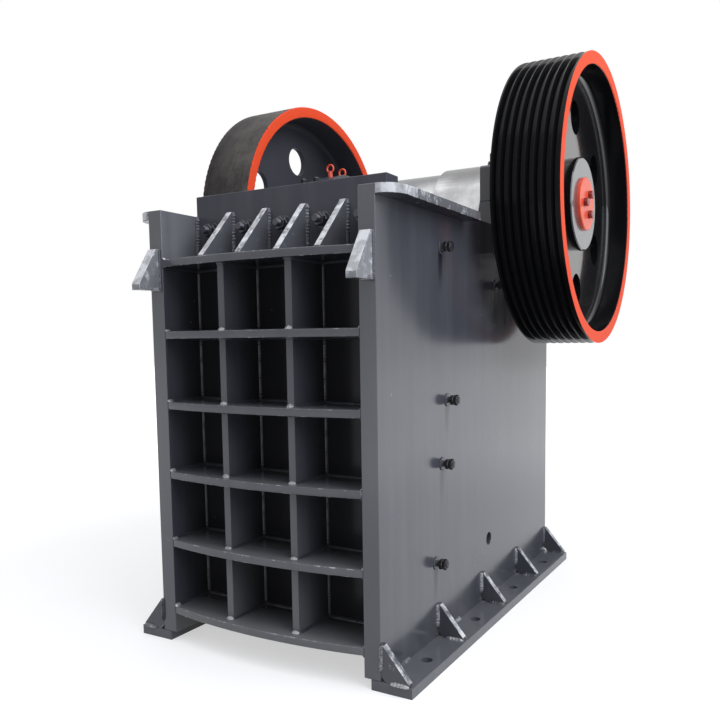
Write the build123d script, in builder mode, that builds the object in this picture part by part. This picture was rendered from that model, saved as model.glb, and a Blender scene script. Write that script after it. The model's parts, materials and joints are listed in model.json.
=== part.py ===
from build123d import *
import math
import os

os.makedirs("parts", exist_ok=True)

# Single-toggle jaw crusher on a welded plate frame.
# X runs along the shaft towards the belt sheave, Y runs back from the feed wall, Z is up.
# The origin is on the floor at the centre of the foundation bolts.  All sizes are millimetres.

# Side plates
frame_width = 1090.0
frame_depth = 1950.0
shaft_height = 1942.0
shaft_above_plates = 112.0
side_plate_thickness = 70.0
side_plate_height = shaft_height - shaft_above_plates
rear_edge_height = 1300.0
bearing_shoulder = 60.0
cleanout_setback = 1058.0
cleanout_height = 322.0
cleanout_diameter = 60.0

# Feet
foot_thickness = 40.0
foot_overhang = 130.0
foot_tuck = 40.0
foot_hole_diameter = 46.0
foot_hole_pitch = 485.0
foot_hole_count = 4
foot_gusset_count = 5
foot_gusset_thickness = 30.0
foot_gusset_apex = 178.0
foot_gusset_toe = 12.0
foot_gusset_setback = 12.0
foot_gusset_snipe = 24.0

# Feed wall and its ribs
pocket_depth = 210.0
wall_thickness = 90.0
wall_above_plates = 83.0
wall_height = side_plate_height + wall_above_plates
rib_thickness = 32.0
rib_count = 6
lowest_rib_height = 138.5
top_rib_drop = 218.0
rib_pitch = (side_plate_height - top_rib_drop - lowest_rib_height) / (rib_count - 1)
rib_bow = 45.0
upright_thickness = 32.0
upright_spacing = 330.0
wall_gusset_count = 4
wall_gusset_spacing = 190.0
wall_gusset_thickness = 28.0
wall_gusset_height = 204.0
wall_gusset_toe = 10.0
wall_gusset_setback = 20.0

# Top flanges and lifting lugs
flange_overhang = 85.0
flange_thickness = 36.0
flange_length = 750.0
lug_thickness = 45.0
lug_inset = 9.0
lug_drop = 159.0
lug_height = 171.0
lug_top = side_plate_height - lug_drop
lug_bottom = lug_top - lug_height
lug_top_reach = 18.0
lug_bottom_reach = 110.0
lug_nose = 26.0
lug_notch_radius = 14.0
lug_notch_setback = 26.0

# Shaft, bearings and covers
shaft_from_rear = 504.0
shaft_setback = frame_depth - shaft_from_rear
eccentricity = 12.0
eccentric_radius = 140.0
journal_radius = 110.0
wheel_seat_radius = 100.0
running_clearance = 0.08
seat_clearance = 0.05
housing_width = 165.0
housing_half_length = 335.0
housing_drop = 245.0
cap_radius = 288.0
cap_shoulder_height = 170.0
cap_root_fillet = 30.0
cap_corner_round = 18.0
cover_radius = 178.0
cover_thickness = 15.0
cover_clearance = 0.5
eyebolt_spacing = 126.0
eyebolt_ring_radius = 21.0
eyebolt_bar_radius = 5.5
eyebolt_collar_radius = 13.0
eyebolt_collar_height = 20.0

# Wheels
wheel_clearance = 7.0
wheel_radius = 678.0
wheel_width = 307.0
rim_inner_radius = 620.0
web_thickness = 95.0
sheave_web_recess = 123.0
flywheel_web_recess = 32.0
web_fillet = 32.0
rim_round = 7.0
hub_radius = 222.0
hub_chamfer = 5.0
sheave_hub_recess = 83.0
flywheel_hub_recess = 30.0
web_hole_count = 6
web_hole_circle = 412.0
web_hole_diameter = 158.0
sheave_hole_start = 93.7
flywheel_hole_start = 88.6
groove_count = 8
groove_pitch = 37.0
groove_top_width = 32.0
groove_bottom_width = 14.0
groove_depth = 27.0
end_cap_radius = 127.0
end_cap_thickness = 18.0
end_cap_chamfer = 4.0

# Crushing chamber
fixed_jaw_thickness = 90.0
fixed_jaw_side_gap = 2.0
chamber_top = side_plate_height
chamber_bottom = 400.0
face_to_shaft = 406.0
feed_gape = shaft_setback - face_to_shaft - pocket_depth - wall_thickness - fixed_jaw_thickness
discharge_setting = 100.0
tooth_pitch = 74.0
tooth_height = 36.0
tooth_crest = 20.0
cheek_thickness = 25.0
cheek_gap = 2.0
cheek_bottom = 430.0
cheek_drop = 30.0
cheek_top = side_plate_height - cheek_drop
cheek_foot_length = 330.0
cheek_to_shaft = 309.0
cheek_shoulder_height = 160.0

# Moving jaw
jaw_side_clearance = 6.0
barrel_end_clearance = 10.0
barrel_middle_radius = 232.0
barrel_end_radius = 250.0
barrel_end_length = 290.0
moving_plate_thickness = 90.0
jaw_back_thickness = 100.0
jaw_rib_count = 4
jaw_rib_thickness = 60.0
jaw_heel_depth = 330.0
jaw_heel_length = 300.0
jaw_rib_head = 190.0
jaw_heel_round = 60.0
jaw_pocket_round = 40.0
barrel_edge_round = 8.0
clamp_height = 70.0
clamp_depth = 70.0

# Toggle and its seats
toggle_width = 560.0
toggle_thickness = 60.0
toggle_waist = 44.0
toggle_end_length = 110.0
toggle_rise = 150.0
toggle_front_clearance = 14.0
toggle_seat_gap = 0.3
toggle_seat_offset = 12.0
seat_along = 150.0
seat_height = 150.0
seat_depth = 60.0
seat_wall = 13.0
seat_floor_thickness = 30.0

# Rear wall
rear_wall_from_rear = 330.0
rear_wall_thickness = 80.0
rear_wall_above_rod = 105.0
rear_wall_top = 1150.0
rear_rib_count = 3
rear_rib_thickness = 32.0
rear_rib_depth = 190.0
rear_upright_thickness = 32.0
rear_upright_spacing = 330.0
rear_block_depth = 90.0
rear_block_height = 170.0
shim_thickness = 40.0

# Tension rod
rod_radius = 22.0
rod_below_heel = 24.0
rod_end_from_rear = 50.0
ear_depth = 90.0
ear_width = 70.0
ear_drop = 35.0
bracket_thickness = 40.0
bracket_width = 220.0
bracket_drop = 75.0
rod_side_clearance = 6.0
spring_radius = 62.0
spring_wire = 20.0
spring_coils = 8
spring_clearance = 8.0
rod_nut_length = 45.0
rod_nut_radius = 40.0
washer_radius = 66.0
washer_thickness = 18.0

# Places worked out from the sizes above
outer_half = frame_width / 2
inner_half = outer_half - side_plate_thickness
front_y = -frame_depth / 2
rear_y = frame_depth / 2
shaft_y = front_y + shaft_setback
seat_front = shaft_y - housing_half_length
seat_rear = shaft_y + housing_half_length
seat_floor = shaft_height - housing_drop
housing_outer = inner_half + housing_width
cover_outer = housing_outer + cover_thickness
wheel_inner = cover_outer + wheel_clearance
wheel_outer = wheel_inner + wheel_width
hub_faces = {1: wheel_outer - sheave_hub_recess, -1: -wheel_outer + flywheel_hub_recess}
wall_front = front_y + pocket_depth
wall_back = wall_front + wall_thickness
rib_heights = [lowest_rib_height + rib_pitch * index for index in range(rib_count)]
top_rib_face = rib_heights[-1] + rib_thickness / 2
wall_gusset_apex = top_rib_face + wall_gusset_height
fixed_face = wall_back + fixed_jaw_thickness
eccentric_height = shaft_height - eccentricity
jaw_half = inner_half - cheek_thickness - jaw_side_clearance
barrel_half = inner_half - barrel_end_clearance
shaft_axis = Axis((0, shaft_y, shaft_height), (1, 0, 0))
shaft_plane = Plane(origin=(0, shaft_y, shaft_height), x_dir=(1, 0, 0), z_dir=(0, -1, 0))
eccentric_axis = Axis((0, shaft_y, eccentric_height), (1, 0, 0))
eccentric_plane = Plane(origin=(0, shaft_y, eccentric_height), x_dir=(1, 0, 0), z_dir=(0, -1, 0))
sides = (("right", 1), ("left", -1))

# The moving jaw's working face leans back from the discharge to the feed opening
face_foot = Vector(0, fixed_face + discharge_setting, chamber_bottom)
face_head = Vector(0, fixed_face + feed_gape, chamber_top)
face_up = (face_head - face_foot).normalized()
face_length = (face_head - face_foot).length
face_plane = Plane(origin=face_foot, x_dir=(1, 0, 0), z_dir=face_up)


def on_jaw(along, depth):
    """Give the (Y, Z) place that lies along the working face and depth behind it."""
    spot = face_foot + face_plane.z_dir * along + face_plane.y_dir * depth
    return (spot.Y, spot.Z)


def save(piece, name):
    """Label a finished piece and write it to its own file."""
    piece.part.label = name
    export_step(piece.part, f"parts/{name}.step")


def spread(count, spacing):
    """Give evenly spaced places about zero."""
    return [spacing * (index - (count - 1) / 2) for index in range(count)]


def corners_at(section, spots):
    """Pick the corners of a drawn section that lie at the given spots."""
    return [section.vertices().sort_by_distance((x, y, 0))[0] for x, y in spots]


def web_corners(section, inner_face, outer_face):
    """Pick the four inner corners where a wheel's web meets its rim and its hub."""
    radii = (rim_inner_radius, hub_radius)
    return corners_at(section, [(x, radius) for x in (inner_face, outer_face) for radius in radii])


def toothed_section(half_width, thickness):
    """Draw a jaw plate's section: a flat back and a row of teeth towards negative depth."""
    tooth_count = int(2 * half_width // tooth_pitch)
    outline = [(-half_width, thickness), (-half_width, tooth_height)]
    for centre in spread(tooth_count, tooth_pitch):
        outline.append((centre - tooth_pitch / 2 + tooth_crest / 2, tooth_height))
        outline.append((centre - tooth_crest / 2, 0))
        outline.append((centre + tooth_crest / 2, 0))
        outline.append((centre + tooth_pitch / 2 - tooth_crest / 2, tooth_height))
    outline += [(half_width, tooth_height), (half_width, thickness)]
    Polyline(*outline, close=True)


# Side plates with the bearing seat cut into the top edge
for side_name, side in sides:
    with BuildPart() as side_plate:
        with BuildSketch(Plane.YZ.offset(side * inner_half)):
            with BuildLine():
                Polyline(
                    (front_y, foot_thickness),
                    (rear_y, foot_thickness),
                    (rear_y, rear_edge_height),
                    (seat_rear + bearing_shoulder, side_plate_height),
                    (seat_rear, side_plate_height),
                    (seat_rear, seat_floor),
                    (seat_front, seat_floor),
                    (seat_front, side_plate_height),
                    (front_y, side_plate_height),
                    close=True,
                )
            make_face()
            with Locations((front_y + cleanout_setback, cleanout_height)):
                Circle(cleanout_diameter / 2, mode=Mode.SUBTRACT)
        extrude(amount=side * side_plate_thickness)
    save(side_plate, f"side_plate_{side_name}")

# Foot plates with their foundation bolt holes
foot_width = foot_overhang + foot_tuck
foot_centre = outer_half + (foot_overhang - foot_tuck) / 2
foot_hole_x = outer_half + foot_overhang / 2
for side_name, side in sides:
    with BuildPart() as foot_plate:
        with BuildSketch():
            with Locations((side * foot_centre, 0)):
                Rectangle(foot_width, frame_depth)
            with Locations(*[(side * foot_hole_x, y) for y in spread(foot_hole_count, foot_hole_pitch)]):
                Circle(foot_hole_diameter / 2, mode=Mode.SUBTRACT)
        extrude(amount=foot_thickness)
    save(foot_plate, f"foot_plate_{side_name}")

# Triangular gussets between the side plates and the feet, each with its root corner cut away
foot_gusset_pitch = (frame_depth - foot_gusset_thickness) / (foot_gusset_count - 1)
foot_gusset_end = outer_half + foot_overhang - foot_gusset_setback
for side_name, side in sides:
    with BuildPart() as foot_gussets:
        for y in spread(foot_gusset_count, foot_gusset_pitch):
            with BuildSketch(Plane.XZ.offset(-y)):
                with BuildLine():
                    Polyline(
                        (side * (outer_half + foot_gusset_snipe), foot_thickness),
                        (side * foot_gusset_end, foot_thickness),
                        (side * foot_gusset_end, foot_thickness + foot_gusset_toe),
                        (side * (outer_half + foot_gusset_toe), foot_gusset_apex),
                        (side * outer_half, foot_gusset_apex),
                        (side * outer_half, foot_thickness + foot_gusset_snipe),
                        close=True,
                    )
                make_face()
            extrude(amount=foot_gusset_thickness / 2, both=True)
    save(foot_gussets, f"foot_gussets_{side_name}")

# Feed wall between the side plates
with BuildPart() as front_wall:
    with BuildSketch(Plane.XY.offset(lowest_rib_height - rib_thickness / 2)):
        with Locations((0, wall_front + wall_thickness / 2)):
            Rectangle(2 * inner_half, wall_thickness)
    extrude(amount=wall_height - lowest_rib_height + rib_thickness / 2)
save(front_wall, "front_wall")

# Cross ribs with a bowed front edge
with BuildPart() as cross_ribs:
    for height in rib_heights:
        with BuildSketch(Plane.XY.offset(height)):
            with BuildLine():
                Polyline(
                    (-inner_half, front_y),
                    (-inner_half, wall_front),
                    (inner_half, wall_front),
                    (inner_half, front_y),
                )
                ThreePointArc((inner_half, front_y), (0, front_y - rib_bow), (-inner_half, front_y))
            make_face()
        extrude(amount=rib_thickness / 2, both=True)
save(cross_ribs, "cross_ribs")

# Upright ribs fill each bay between two cross ribs
with BuildPart() as upright_ribs:
    for height in rib_heights[:-1]:
        with BuildSketch(Plane.XY.offset(height + rib_thickness / 2)):
            with Locations(*[(x, front_y + pocket_depth / 2) for x in spread(2, upright_spacing)]):
                Rectangle(upright_thickness, pocket_depth)
        extrude(amount=rib_pitch - rib_thickness)
save(upright_ribs, "upright_ribs")

# Gussets that brace the top of the feed wall from the top cross rib
with BuildPart() as wall_gussets:
    for x in spread(wall_gusset_count, wall_gusset_spacing):
        with BuildSketch(Plane.YZ.offset(x)):
            with BuildLine():
                Polyline(
                    (front_y + wall_gusset_setback, top_rib_face),
                    (wall_front, top_rib_face),
                    (wall_front, wall_gusset_apex),
                    (wall_front - wall_gusset_toe, wall_gusset_apex),
                    (front_y + wall_gusset_setback, top_rib_face + wall_gusset_toe),
                    close=True,
                )
            make_face()
        extrude(amount=wall_gusset_thickness / 2, both=True)
save(wall_gussets, "wall_gussets")

# Flanges along the side plates' top edges, rounded at the front
for side_name, side in sides:
    flange_edge = side * (outer_half + flange_overhang)
    with BuildPart() as top_flange:
        with BuildSketch(Plane.XY.offset(side_plate_height - flange_thickness)):
            with BuildLine():
                Polyline(
                    (flange_edge, front_y + flange_overhang),
                    (flange_edge, front_y + flange_length),
                    (side * outer_half, front_y + flange_length),
                    (side * outer_half, front_y),
                )
                RadiusArc(
                    (side * outer_half, front_y),
                    (flange_edge, front_y + flange_overhang),
                    -side * flange_overhang,
                )
            make_face()
        extrude(amount=flange_thickness)
    save(top_flange, f"top_flange_{side_name}")

# Lifting lugs: wedges on the side plates' front edges, with a round notch at the root
for side_name, side in sides:
    lug_face = side * (outer_half - lug_inset)
    with BuildPart() as lifting_lug:
        with BuildSketch(Plane.YZ.offset(lug_face)):
            with BuildLine():
                Polyline(
                    (front_y, lug_bottom),
                    (front_y, lug_top),
                    (front_y - lug_top_reach, lug_top),
                    (front_y - lug_bottom_reach, lug_bottom + lug_nose),
                    (front_y - lug_bottom_reach, lug_bottom),
                    close=True,
                )
            make_face()
            with Locations((front_y - lug_notch_setback, lug_bottom)):
                Circle(lug_notch_radius, mode=Mode.SUBTRACT)
        extrude(amount=-side * lug_thickness)
    save(lifting_lug, f"lifting_lug_{side_name}")

# Split bearing housings in the side plates' seats, with cast rounds on their caps
cap_shoulder = shaft_height + cap_shoulder_height
cap_root = math.sqrt(cap_radius**2 - cap_shoulder_height**2)
cap_roots = [(shaft_y - cap_root, cap_shoulder), (shaft_y + cap_root, cap_shoulder)]
cap_corners = [(seat_front, cap_shoulder), (seat_rear, cap_shoulder)]
for side_name, side in sides:
    with BuildPart() as bearing_housing:
        with BuildSketch(Plane.YZ.offset(side * inner_half)):
            with Locations((shaft_y, shaft_height - housing_drop / 2)):
                Rectangle(2 * housing_half_length, housing_drop)
            with Locations((shaft_y, shaft_height)):
                Circle(journal_radius + running_clearance, mode=Mode.SUBTRACT)
        extrude(amount=side * housing_width)
    save(bearing_housing, f"bearing_housing_{side_name}")

    with BuildPart() as bearing_cap:
        with BuildSketch(Plane.YZ.offset(side * inner_half)) as cap_section:
            with Locations((shaft_y, shaft_height)):
                Circle(cap_radius)
            with Locations((shaft_y, shaft_height - cap_radius / 2)):
                Rectangle(2 * cap_radius, cap_radius, mode=Mode.SUBTRACT)
            with Locations((shaft_y, shaft_height + cap_shoulder_height / 2)):
                Rectangle(2 * housing_half_length, cap_shoulder_height)
            with Locations((shaft_y, shaft_height)):
                Circle(journal_radius + running_clearance, mode=Mode.SUBTRACT)
            fillet(corners_at(cap_section, cap_roots), cap_root_fillet)
            fillet(corners_at(cap_section, cap_corners), cap_corner_round)
        extrude(amount=side * housing_width)
    save(bearing_cap, f"bearing_cap_{side_name}")

    with BuildPart() as bearing_cover:
        with BuildSketch(Plane.YZ.offset(side * housing_outer)):
            with Locations((shaft_y, shaft_height)):
                Circle(cover_radius)
                Circle(journal_radius + cover_clearance, mode=Mode.SUBTRACT)
        extrude(amount=side * cover_thickness)
    save(bearing_cover, f"bearing_cover_{side_name}")

# Lifting eyebolts on the bearing caps
eyebolt_offset = eyebolt_spacing / 2
eyebolt_base = shaft_height + math.sqrt(cap_radius**2 - (eyebolt_offset + eyebolt_collar_radius) ** 2)
eyebolt_foot = shaft_height + math.sqrt(cap_radius**2 - (eyebolt_offset - eyebolt_collar_radius) ** 2)
eyebolt_centre = eyebolt_foot + eyebolt_collar_height + eyebolt_ring_radius
for side_name, side in sides:
    eyebolt_x = side * (inner_half + housing_width / 2)
    with BuildPart() as eyebolts:
        for y in spread(2, eyebolt_spacing):
            with BuildSketch(Plane.XY.offset(eyebolt_base)):
                with Locations((eyebolt_x, shaft_y + y)):
                    Circle(eyebolt_collar_radius)
            extrude(amount=eyebolt_foot + eyebolt_collar_height + eyebolt_bar_radius - eyebolt_base)
            with Locations(Location((eyebolt_x, shaft_y + y, eyebolt_centre), (90, 0, 0))):
                Torus(eyebolt_ring_radius, eyebolt_bar_radius)
        with BuildSketch(Plane.YZ.offset(side * inner_half)):
            with Locations((shaft_y, shaft_height)):
                Circle(cap_radius)
        extrude(amount=side * housing_width, mode=Mode.SUBTRACT)
    save(eyebolts, f"eyebolts_{side_name}")

# Shaft with its eccentric between the bearings
with BuildPart() as eccentric_shaft:
    with BuildSketch(shaft_plane):
        with BuildLine():
            Polyline(
                (hub_faces[-1], 0),
                (hub_faces[-1], wheel_seat_radius),
                (-wheel_inner, wheel_seat_radius),
                (-wheel_inner, journal_radius),
                (wheel_inner, journal_radius),
                (wheel_inner, wheel_seat_radius),
                (hub_faces[1], wheel_seat_radius),
                (hub_faces[1], 0),
                close=True,
            )
        make_face()
    revolve(axis=shaft_axis)
    with BuildSketch(Plane.YZ.offset(-barrel_half)):
        with Locations((shaft_y, eccentric_height)):
            Circle(eccentric_radius)
    extrude(amount=2 * barrel_half)
save(eccentric_shaft, "eccentric_shaft")

# Grooved belt sheave
sheave_web_outer = wheel_outer - sheave_web_recess
sheave_web_inner = sheave_web_outer - web_thickness
hub_bore = wheel_seat_radius + seat_clearance
with BuildPart() as belt_sheave:
    with BuildSketch(shaft_plane) as sheave_section:
        with BuildLine():
            rim = [(wheel_inner, rim_inner_radius), (wheel_inner, wheel_radius)]
            for centre in spread(groove_count, groove_pitch):
                groove_x = (wheel_inner + wheel_outer) / 2 + centre
                rim.append((groove_x - groove_top_width / 2, wheel_radius))
                rim.append((groove_x - groove_bottom_width / 2, wheel_radius - groove_depth))
                rim.append((groove_x + groove_bottom_width / 2, wheel_radius - groove_depth))
                rim.append((groove_x + groove_top_width / 2, wheel_radius))
            rim += [(wheel_outer, wheel_radius), (wheel_outer, rim_inner_radius)]
            Polyline(
                *rim,
                (sheave_web_outer, rim_inner_radius),
                (sheave_web_outer, hub_radius),
                (hub_faces[1], hub_radius),
                (hub_faces[1], hub_bore),
                (wheel_inner, hub_bore),
                (wheel_inner, hub_radius),
                (sheave_web_inner, hub_radius),
                (sheave_web_inner, rim_inner_radius),
                close=True,
            )
        make_face()
        fillet(web_corners(sheave_section, sheave_web_inner, sheave_web_outer), web_fillet)
        sheave_lips = [(wheel_inner, rim_inner_radius), (wheel_outer, rim_inner_radius)]
        fillet(corners_at(sheave_section, sheave_lips), rim_round)
        chamfer(corners_at(sheave_section, [(hub_faces[1], hub_radius)]), hub_chamfer)
    revolve(axis=shaft_axis)
    with BuildSketch(Plane.YZ.offset(sheave_web_inner)):
        with Locations((shaft_y, shaft_height)):
            with PolarLocations(web_hole_circle, web_hole_count, start_angle=sheave_hole_start):
                Circle(web_hole_diameter / 2)
    extrude(amount=web_thickness, mode=Mode.SUBTRACT)
save(belt_sheave, "belt_sheave")

# Plain flywheel
flywheel_web_outer = -wheel_outer + flywheel_web_recess
flywheel_web_inner = flywheel_web_outer + web_thickness
rim_radii = (rim_inner_radius, wheel_radius)
rim_corners = [(x, radius) for x in (-wheel_inner, -wheel_outer) for radius in rim_radii]
with BuildPart() as flywheel:
    with BuildSketch(shaft_plane) as flywheel_section:
        with BuildLine():
            Polyline(
                (-wheel_outer, wheel_radius),
                (-wheel_inner, wheel_radius),
                (-wheel_inner, rim_inner_radius),
                (flywheel_web_inner, rim_inner_radius),
                (flywheel_web_inner, hub_radius),
                (-wheel_inner, hub_radius),
                (-wheel_inner, hub_bore),
                (hub_faces[-1], hub_bore),
                (hub_faces[-1], hub_radius),
                (flywheel_web_outer, hub_radius),
                (flywheel_web_outer, rim_inner_radius),
                (-wheel_outer, rim_inner_radius),
                close=True,
            )
        make_face()
        inner_corners = [(flywheel_web_inner, rim_inner_radius), (flywheel_web_inner, hub_radius)]
        fillet(corners_at(flywheel_section, inner_corners), web_fillet)
        fillet(corners_at(flywheel_section, rim_corners), rim_round)
    revolve(axis=shaft_axis)
    with BuildSketch(Plane.YZ.offset(flywheel_web_outer)):
        with Locations((shaft_y, shaft_height)):
            with PolarLocations(web_hole_circle, web_hole_count, start_angle=flywheel_hole_start):
                Circle(web_hole_diameter / 2)
    extrude(amount=web_thickness, mode=Mode.SUBTRACT)
save(flywheel, "flywheel")

# End caps that hold the wheels on the shaft
for side_name, side in sides:
    with BuildPart() as end_cap:
        with BuildSketch(Plane.YZ.offset(hub_faces[side])):
            with Locations((shaft_y, shaft_height)):
                Circle(end_cap_radius)
        extrude(amount=side * end_cap_thickness)
        outer_face = end_cap.faces().sort_by(Axis.X)[-1 if side > 0 else 0]
        chamfer(outer_face.edges(), end_cap_chamfer)
    save(end_cap, f"end_cap_{side_name}")

# Toothed jaw plate bolted to the feed wall
with BuildPart() as fixed_jaw_plate:
    fixed_plane = Plane(origin=(0, fixed_face, chamber_bottom), x_dir=(-1, 0, 0), z_dir=(0, 0, 1))
    with BuildSketch(fixed_plane):
        with BuildLine():
            toothed_section(inner_half - fixed_jaw_side_gap, fixed_jaw_thickness)
        make_face()
    extrude(amount=chamber_top - chamber_bottom)
save(fixed_jaw_plate, "fixed_jaw_plate")

# Cheek plates line the side plates beside the chamber
cheek_front = fixed_face + cheek_gap
cheek_rear = shaft_y - cheek_to_shaft
for side_name, side in sides:
    with BuildPart() as cheek_plate:
        with BuildSketch(Plane.YZ.offset(side * inner_half)):
            with BuildLine():
                Polyline(
                    (cheek_front, cheek_bottom),
                    (cheek_front + cheek_foot_length, cheek_bottom),
                    (cheek_rear, cheek_top - cheek_shoulder_height),
                    (cheek_rear, cheek_top),
                    (cheek_front, cheek_top),
                    close=True,
                )
            make_face()
        extrude(amount=-side * cheek_thickness)
    save(cheek_plate, f"cheek_plate_{side_name}")

# Moving jaw: a cast back with ribs, hung from the barrel that turns on the eccentric
back_face = moving_plate_thickness
rib_root = back_face + jaw_back_thickness
heel_depth = back_face + jaw_heel_depth
barrel_spot = Vector(0, shaft_y, eccentric_height) - face_foot
barrel_along = barrel_spot.dot(face_plane.z_dir)
barrel_depth = barrel_spot.dot(face_plane.y_dir)
pocket_count = jaw_rib_count - 1
jaw_pocket_width = (2 * jaw_half - jaw_rib_count * jaw_rib_thickness) / pocket_count
with BuildPart() as moving_jaw:
    with BuildSketch(Plane.YZ.offset(-jaw_half)) as jaw_section:
        with BuildLine():
            Polyline(
                on_jaw(0, back_face),
                on_jaw(0, heel_depth),
                on_jaw(jaw_heel_length, heel_depth),
                on_jaw(barrel_along, barrel_depth + jaw_rib_head),
                on_jaw(barrel_along, back_face),
                close=True,
            )
        make_face()
        fillet(corners_at(jaw_section, [on_jaw(jaw_heel_length, heel_depth)]), jaw_heel_round)
    extrude(amount=2 * jaw_half)
    for x in spread(pocket_count, jaw_pocket_width + jaw_rib_thickness):
        with BuildSketch(Plane.YZ.offset(x)) as pocket_section:
            with BuildLine():
                Polyline(
                    on_jaw(jaw_heel_length, rib_root),
                    on_jaw(jaw_heel_length, heel_depth + jaw_rib_head),
                    on_jaw(barrel_along, barrel_depth + 2 * jaw_rib_head),
                    on_jaw(barrel_along, rib_root),
                    close=True,
                )
            make_face()
            fillet(corners_at(pocket_section, [on_jaw(jaw_heel_length, rib_root)]), jaw_pocket_round)
        extrude(amount=jaw_pocket_width / 2, both=True, mode=Mode.SUBTRACT)
    with BuildSketch(Plane.YZ):
        with Locations((shaft_y, eccentric_height)):
            Circle(barrel_middle_radius)
    extrude(amount=barrel_half, both=True)
    for side in (1, -1):
        barrel_end = side * barrel_half
        collar_edge = side * (barrel_half - barrel_end_length)
        with BuildSketch(eccentric_plane) as collar_section:
            with BuildLine():
                Polyline(
                    (barrel_end, 0),
                    (barrel_end, barrel_end_radius),
                    (collar_edge, barrel_end_radius),
                    (collar_edge, 0),
                    close=True,
                )
            make_face()
            collar_rims = [(barrel_end, barrel_end_radius), (collar_edge, barrel_end_radius)]
            fillet(corners_at(collar_section, collar_rims), barrel_edge_round)
        revolve(axis=eccentric_axis)
    with BuildSketch(Plane.YZ):
        with Locations((shaft_y, eccentric_height)):
            Circle(eccentric_radius + running_clearance)
    extrude(amount=barrel_half, both=True, mode=Mode.SUBTRACT)
save(moving_jaw, "moving_jaw")

# Toothed jaw plate on the moving jaw
with BuildPart() as moving_jaw_plate:
    with BuildSketch(face_plane):
        with BuildLine():
            toothed_section(jaw_half, moving_plate_thickness)
        make_face()
    extrude(amount=face_length)
save(moving_jaw_plate, "moving_jaw_plate")

# Wedge bar that clamps the moving jaw plate from above
with BuildPart() as jaw_clamp:
    with BuildSketch(Plane.YZ.offset(-jaw_half)):
        with BuildLine():
            Polyline(
                on_jaw(face_length, back_face),
                on_jaw(face_length, back_face - clamp_depth),
                on_jaw(face_length + clamp_height, back_face),
                close=True,
            )
        make_face()
    extrude(amount=2 * jaw_half)
save(jaw_clamp, "jaw_clamp")

# Front toggle seat on the jaw's heel: a block with a wide channel that faces back
seat_low = seat_along - seat_height / 2
seat_high = seat_along + seat_height / 2
seat_back = heel_depth + seat_depth
channel_floor = heel_depth + seat_floor_thickness
with BuildPart() as jaw_toggle_seat:
    with BuildSketch(Plane.YZ):
        with BuildLine():
            Polyline(
                on_jaw(seat_low, heel_depth),
                on_jaw(seat_low, seat_back),
                on_jaw(seat_low + seat_wall, seat_back),
                on_jaw(seat_low + seat_wall, channel_floor),
                on_jaw(seat_high - seat_wall, channel_floor),
                on_jaw(seat_high - seat_wall, seat_back),
                on_jaw(seat_high, seat_back),
                on_jaw(seat_high, heel_depth),
                close=True,
            )
        make_face()
    extrude(amount=toggle_width / 2, both=True)
save(jaw_toggle_seat, "jaw_toggle_seat")

# Rear wall between the side plates, above the tension rod, with ribs behind it
rod_height = on_jaw(0, heel_depth)[1] - rod_below_heel
rear_wall_bottom = rod_height + rear_wall_above_rod
rear_wall_front = rear_y - rear_wall_from_rear
rear_wall_back = rear_wall_front + rear_wall_thickness
with BuildPart() as rear_wall:
    with BuildSketch(Plane.XY.offset(rear_wall_bottom)):
        with Locations((0, rear_wall_front + rear_wall_thickness / 2)):
            Rectangle(2 * inner_half, rear_wall_thickness)
    extrude(amount=rear_wall_top - rear_wall_bottom)
save(rear_wall, "rear_wall")

rear_rib_pitch = (rear_wall_top - rear_wall_bottom - rear_rib_thickness) / (rear_rib_count - 1)
rear_wall_middle = (rear_wall_bottom + rear_wall_top) / 2
rear_rib_heights = [rear_wall_middle + height for height in spread(rear_rib_count, rear_rib_pitch)]
rear_rib_y = rear_wall_back + rear_rib_depth / 2
with BuildPart() as rear_ribs:
    for height in rear_rib_heights:
        with BuildSketch(Plane.XY.offset(height)):
            with Locations((0, rear_rib_y)):
                Rectangle(2 * inner_half, rear_rib_depth)
        extrude(amount=rear_rib_thickness / 2, both=True)
save(rear_ribs, "rear_ribs")

with BuildPart() as rear_uprights:
    for height in rear_rib_heights[:-1]:
        with BuildSketch(Plane.XY.offset(height + rear_rib_thickness / 2)):
            with Locations(*[(x, rear_rib_y) for x in spread(2, rear_upright_spacing)]):
                Rectangle(rear_upright_thickness, rear_rib_depth)
        extrude(amount=rear_rib_pitch - rear_rib_thickness)
save(rear_uprights, "rear_uprights")

# Toggle plate with round ends and a thinner waist, seated in the rear block and shy of the jaw's channel
toggle_radius = toggle_thickness / 2
waist_recess = (toggle_thickness - toggle_waist) / 2
waist_offset = (toggle_thickness + toggle_waist) / 4
shim_front = rear_wall_front - shim_thickness
block_front = shim_front - rear_block_depth
front_y_z = on_jaw(seat_along, channel_floor + toggle_front_clearance + toggle_radius)
toggle_front = Vector(0, front_y_z[0], front_y_z[1])
toggle_rear = Vector(0, block_front - toggle_seat_offset, toggle_front.Z + toggle_rise)
toggle_span = toggle_rear - toggle_front
toggle_plane = Plane(origin=toggle_front, x_dir=toggle_span.normalized(), z_dir=(1, 0, 0))
with BuildPart() as toggle_plate:
    with BuildSketch(toggle_plane):
        with Locations((toggle_span.length / 2, 0)):
            SlotCenterToCenter(toggle_span.length, toggle_thickness)
        with Locations((toggle_span.length / 2, waist_offset), (toggle_span.length / 2, -waist_offset)):
            Rectangle(toggle_span.length - 2 * toggle_end_length, waist_recess, mode=Mode.SUBTRACT)
    extrude(amount=toggle_width / 2, both=True)
save(toggle_plate, "toggle_plate")

# Adjusting block and shims that carry the toggle's rear end
with BuildPart() as toggle_block:
    with BuildSketch(Plane.YZ):
        with Locations((block_front + rear_block_depth / 2, toggle_rear.Z)):
            Rectangle(rear_block_depth, rear_block_height)
        with Locations((toggle_rear.Y, toggle_rear.Z)):
            Circle(toggle_radius + toggle_seat_gap, mode=Mode.SUBTRACT)
    extrude(amount=toggle_width / 2, both=True)
save(toggle_block, "toggle_block")

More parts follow.
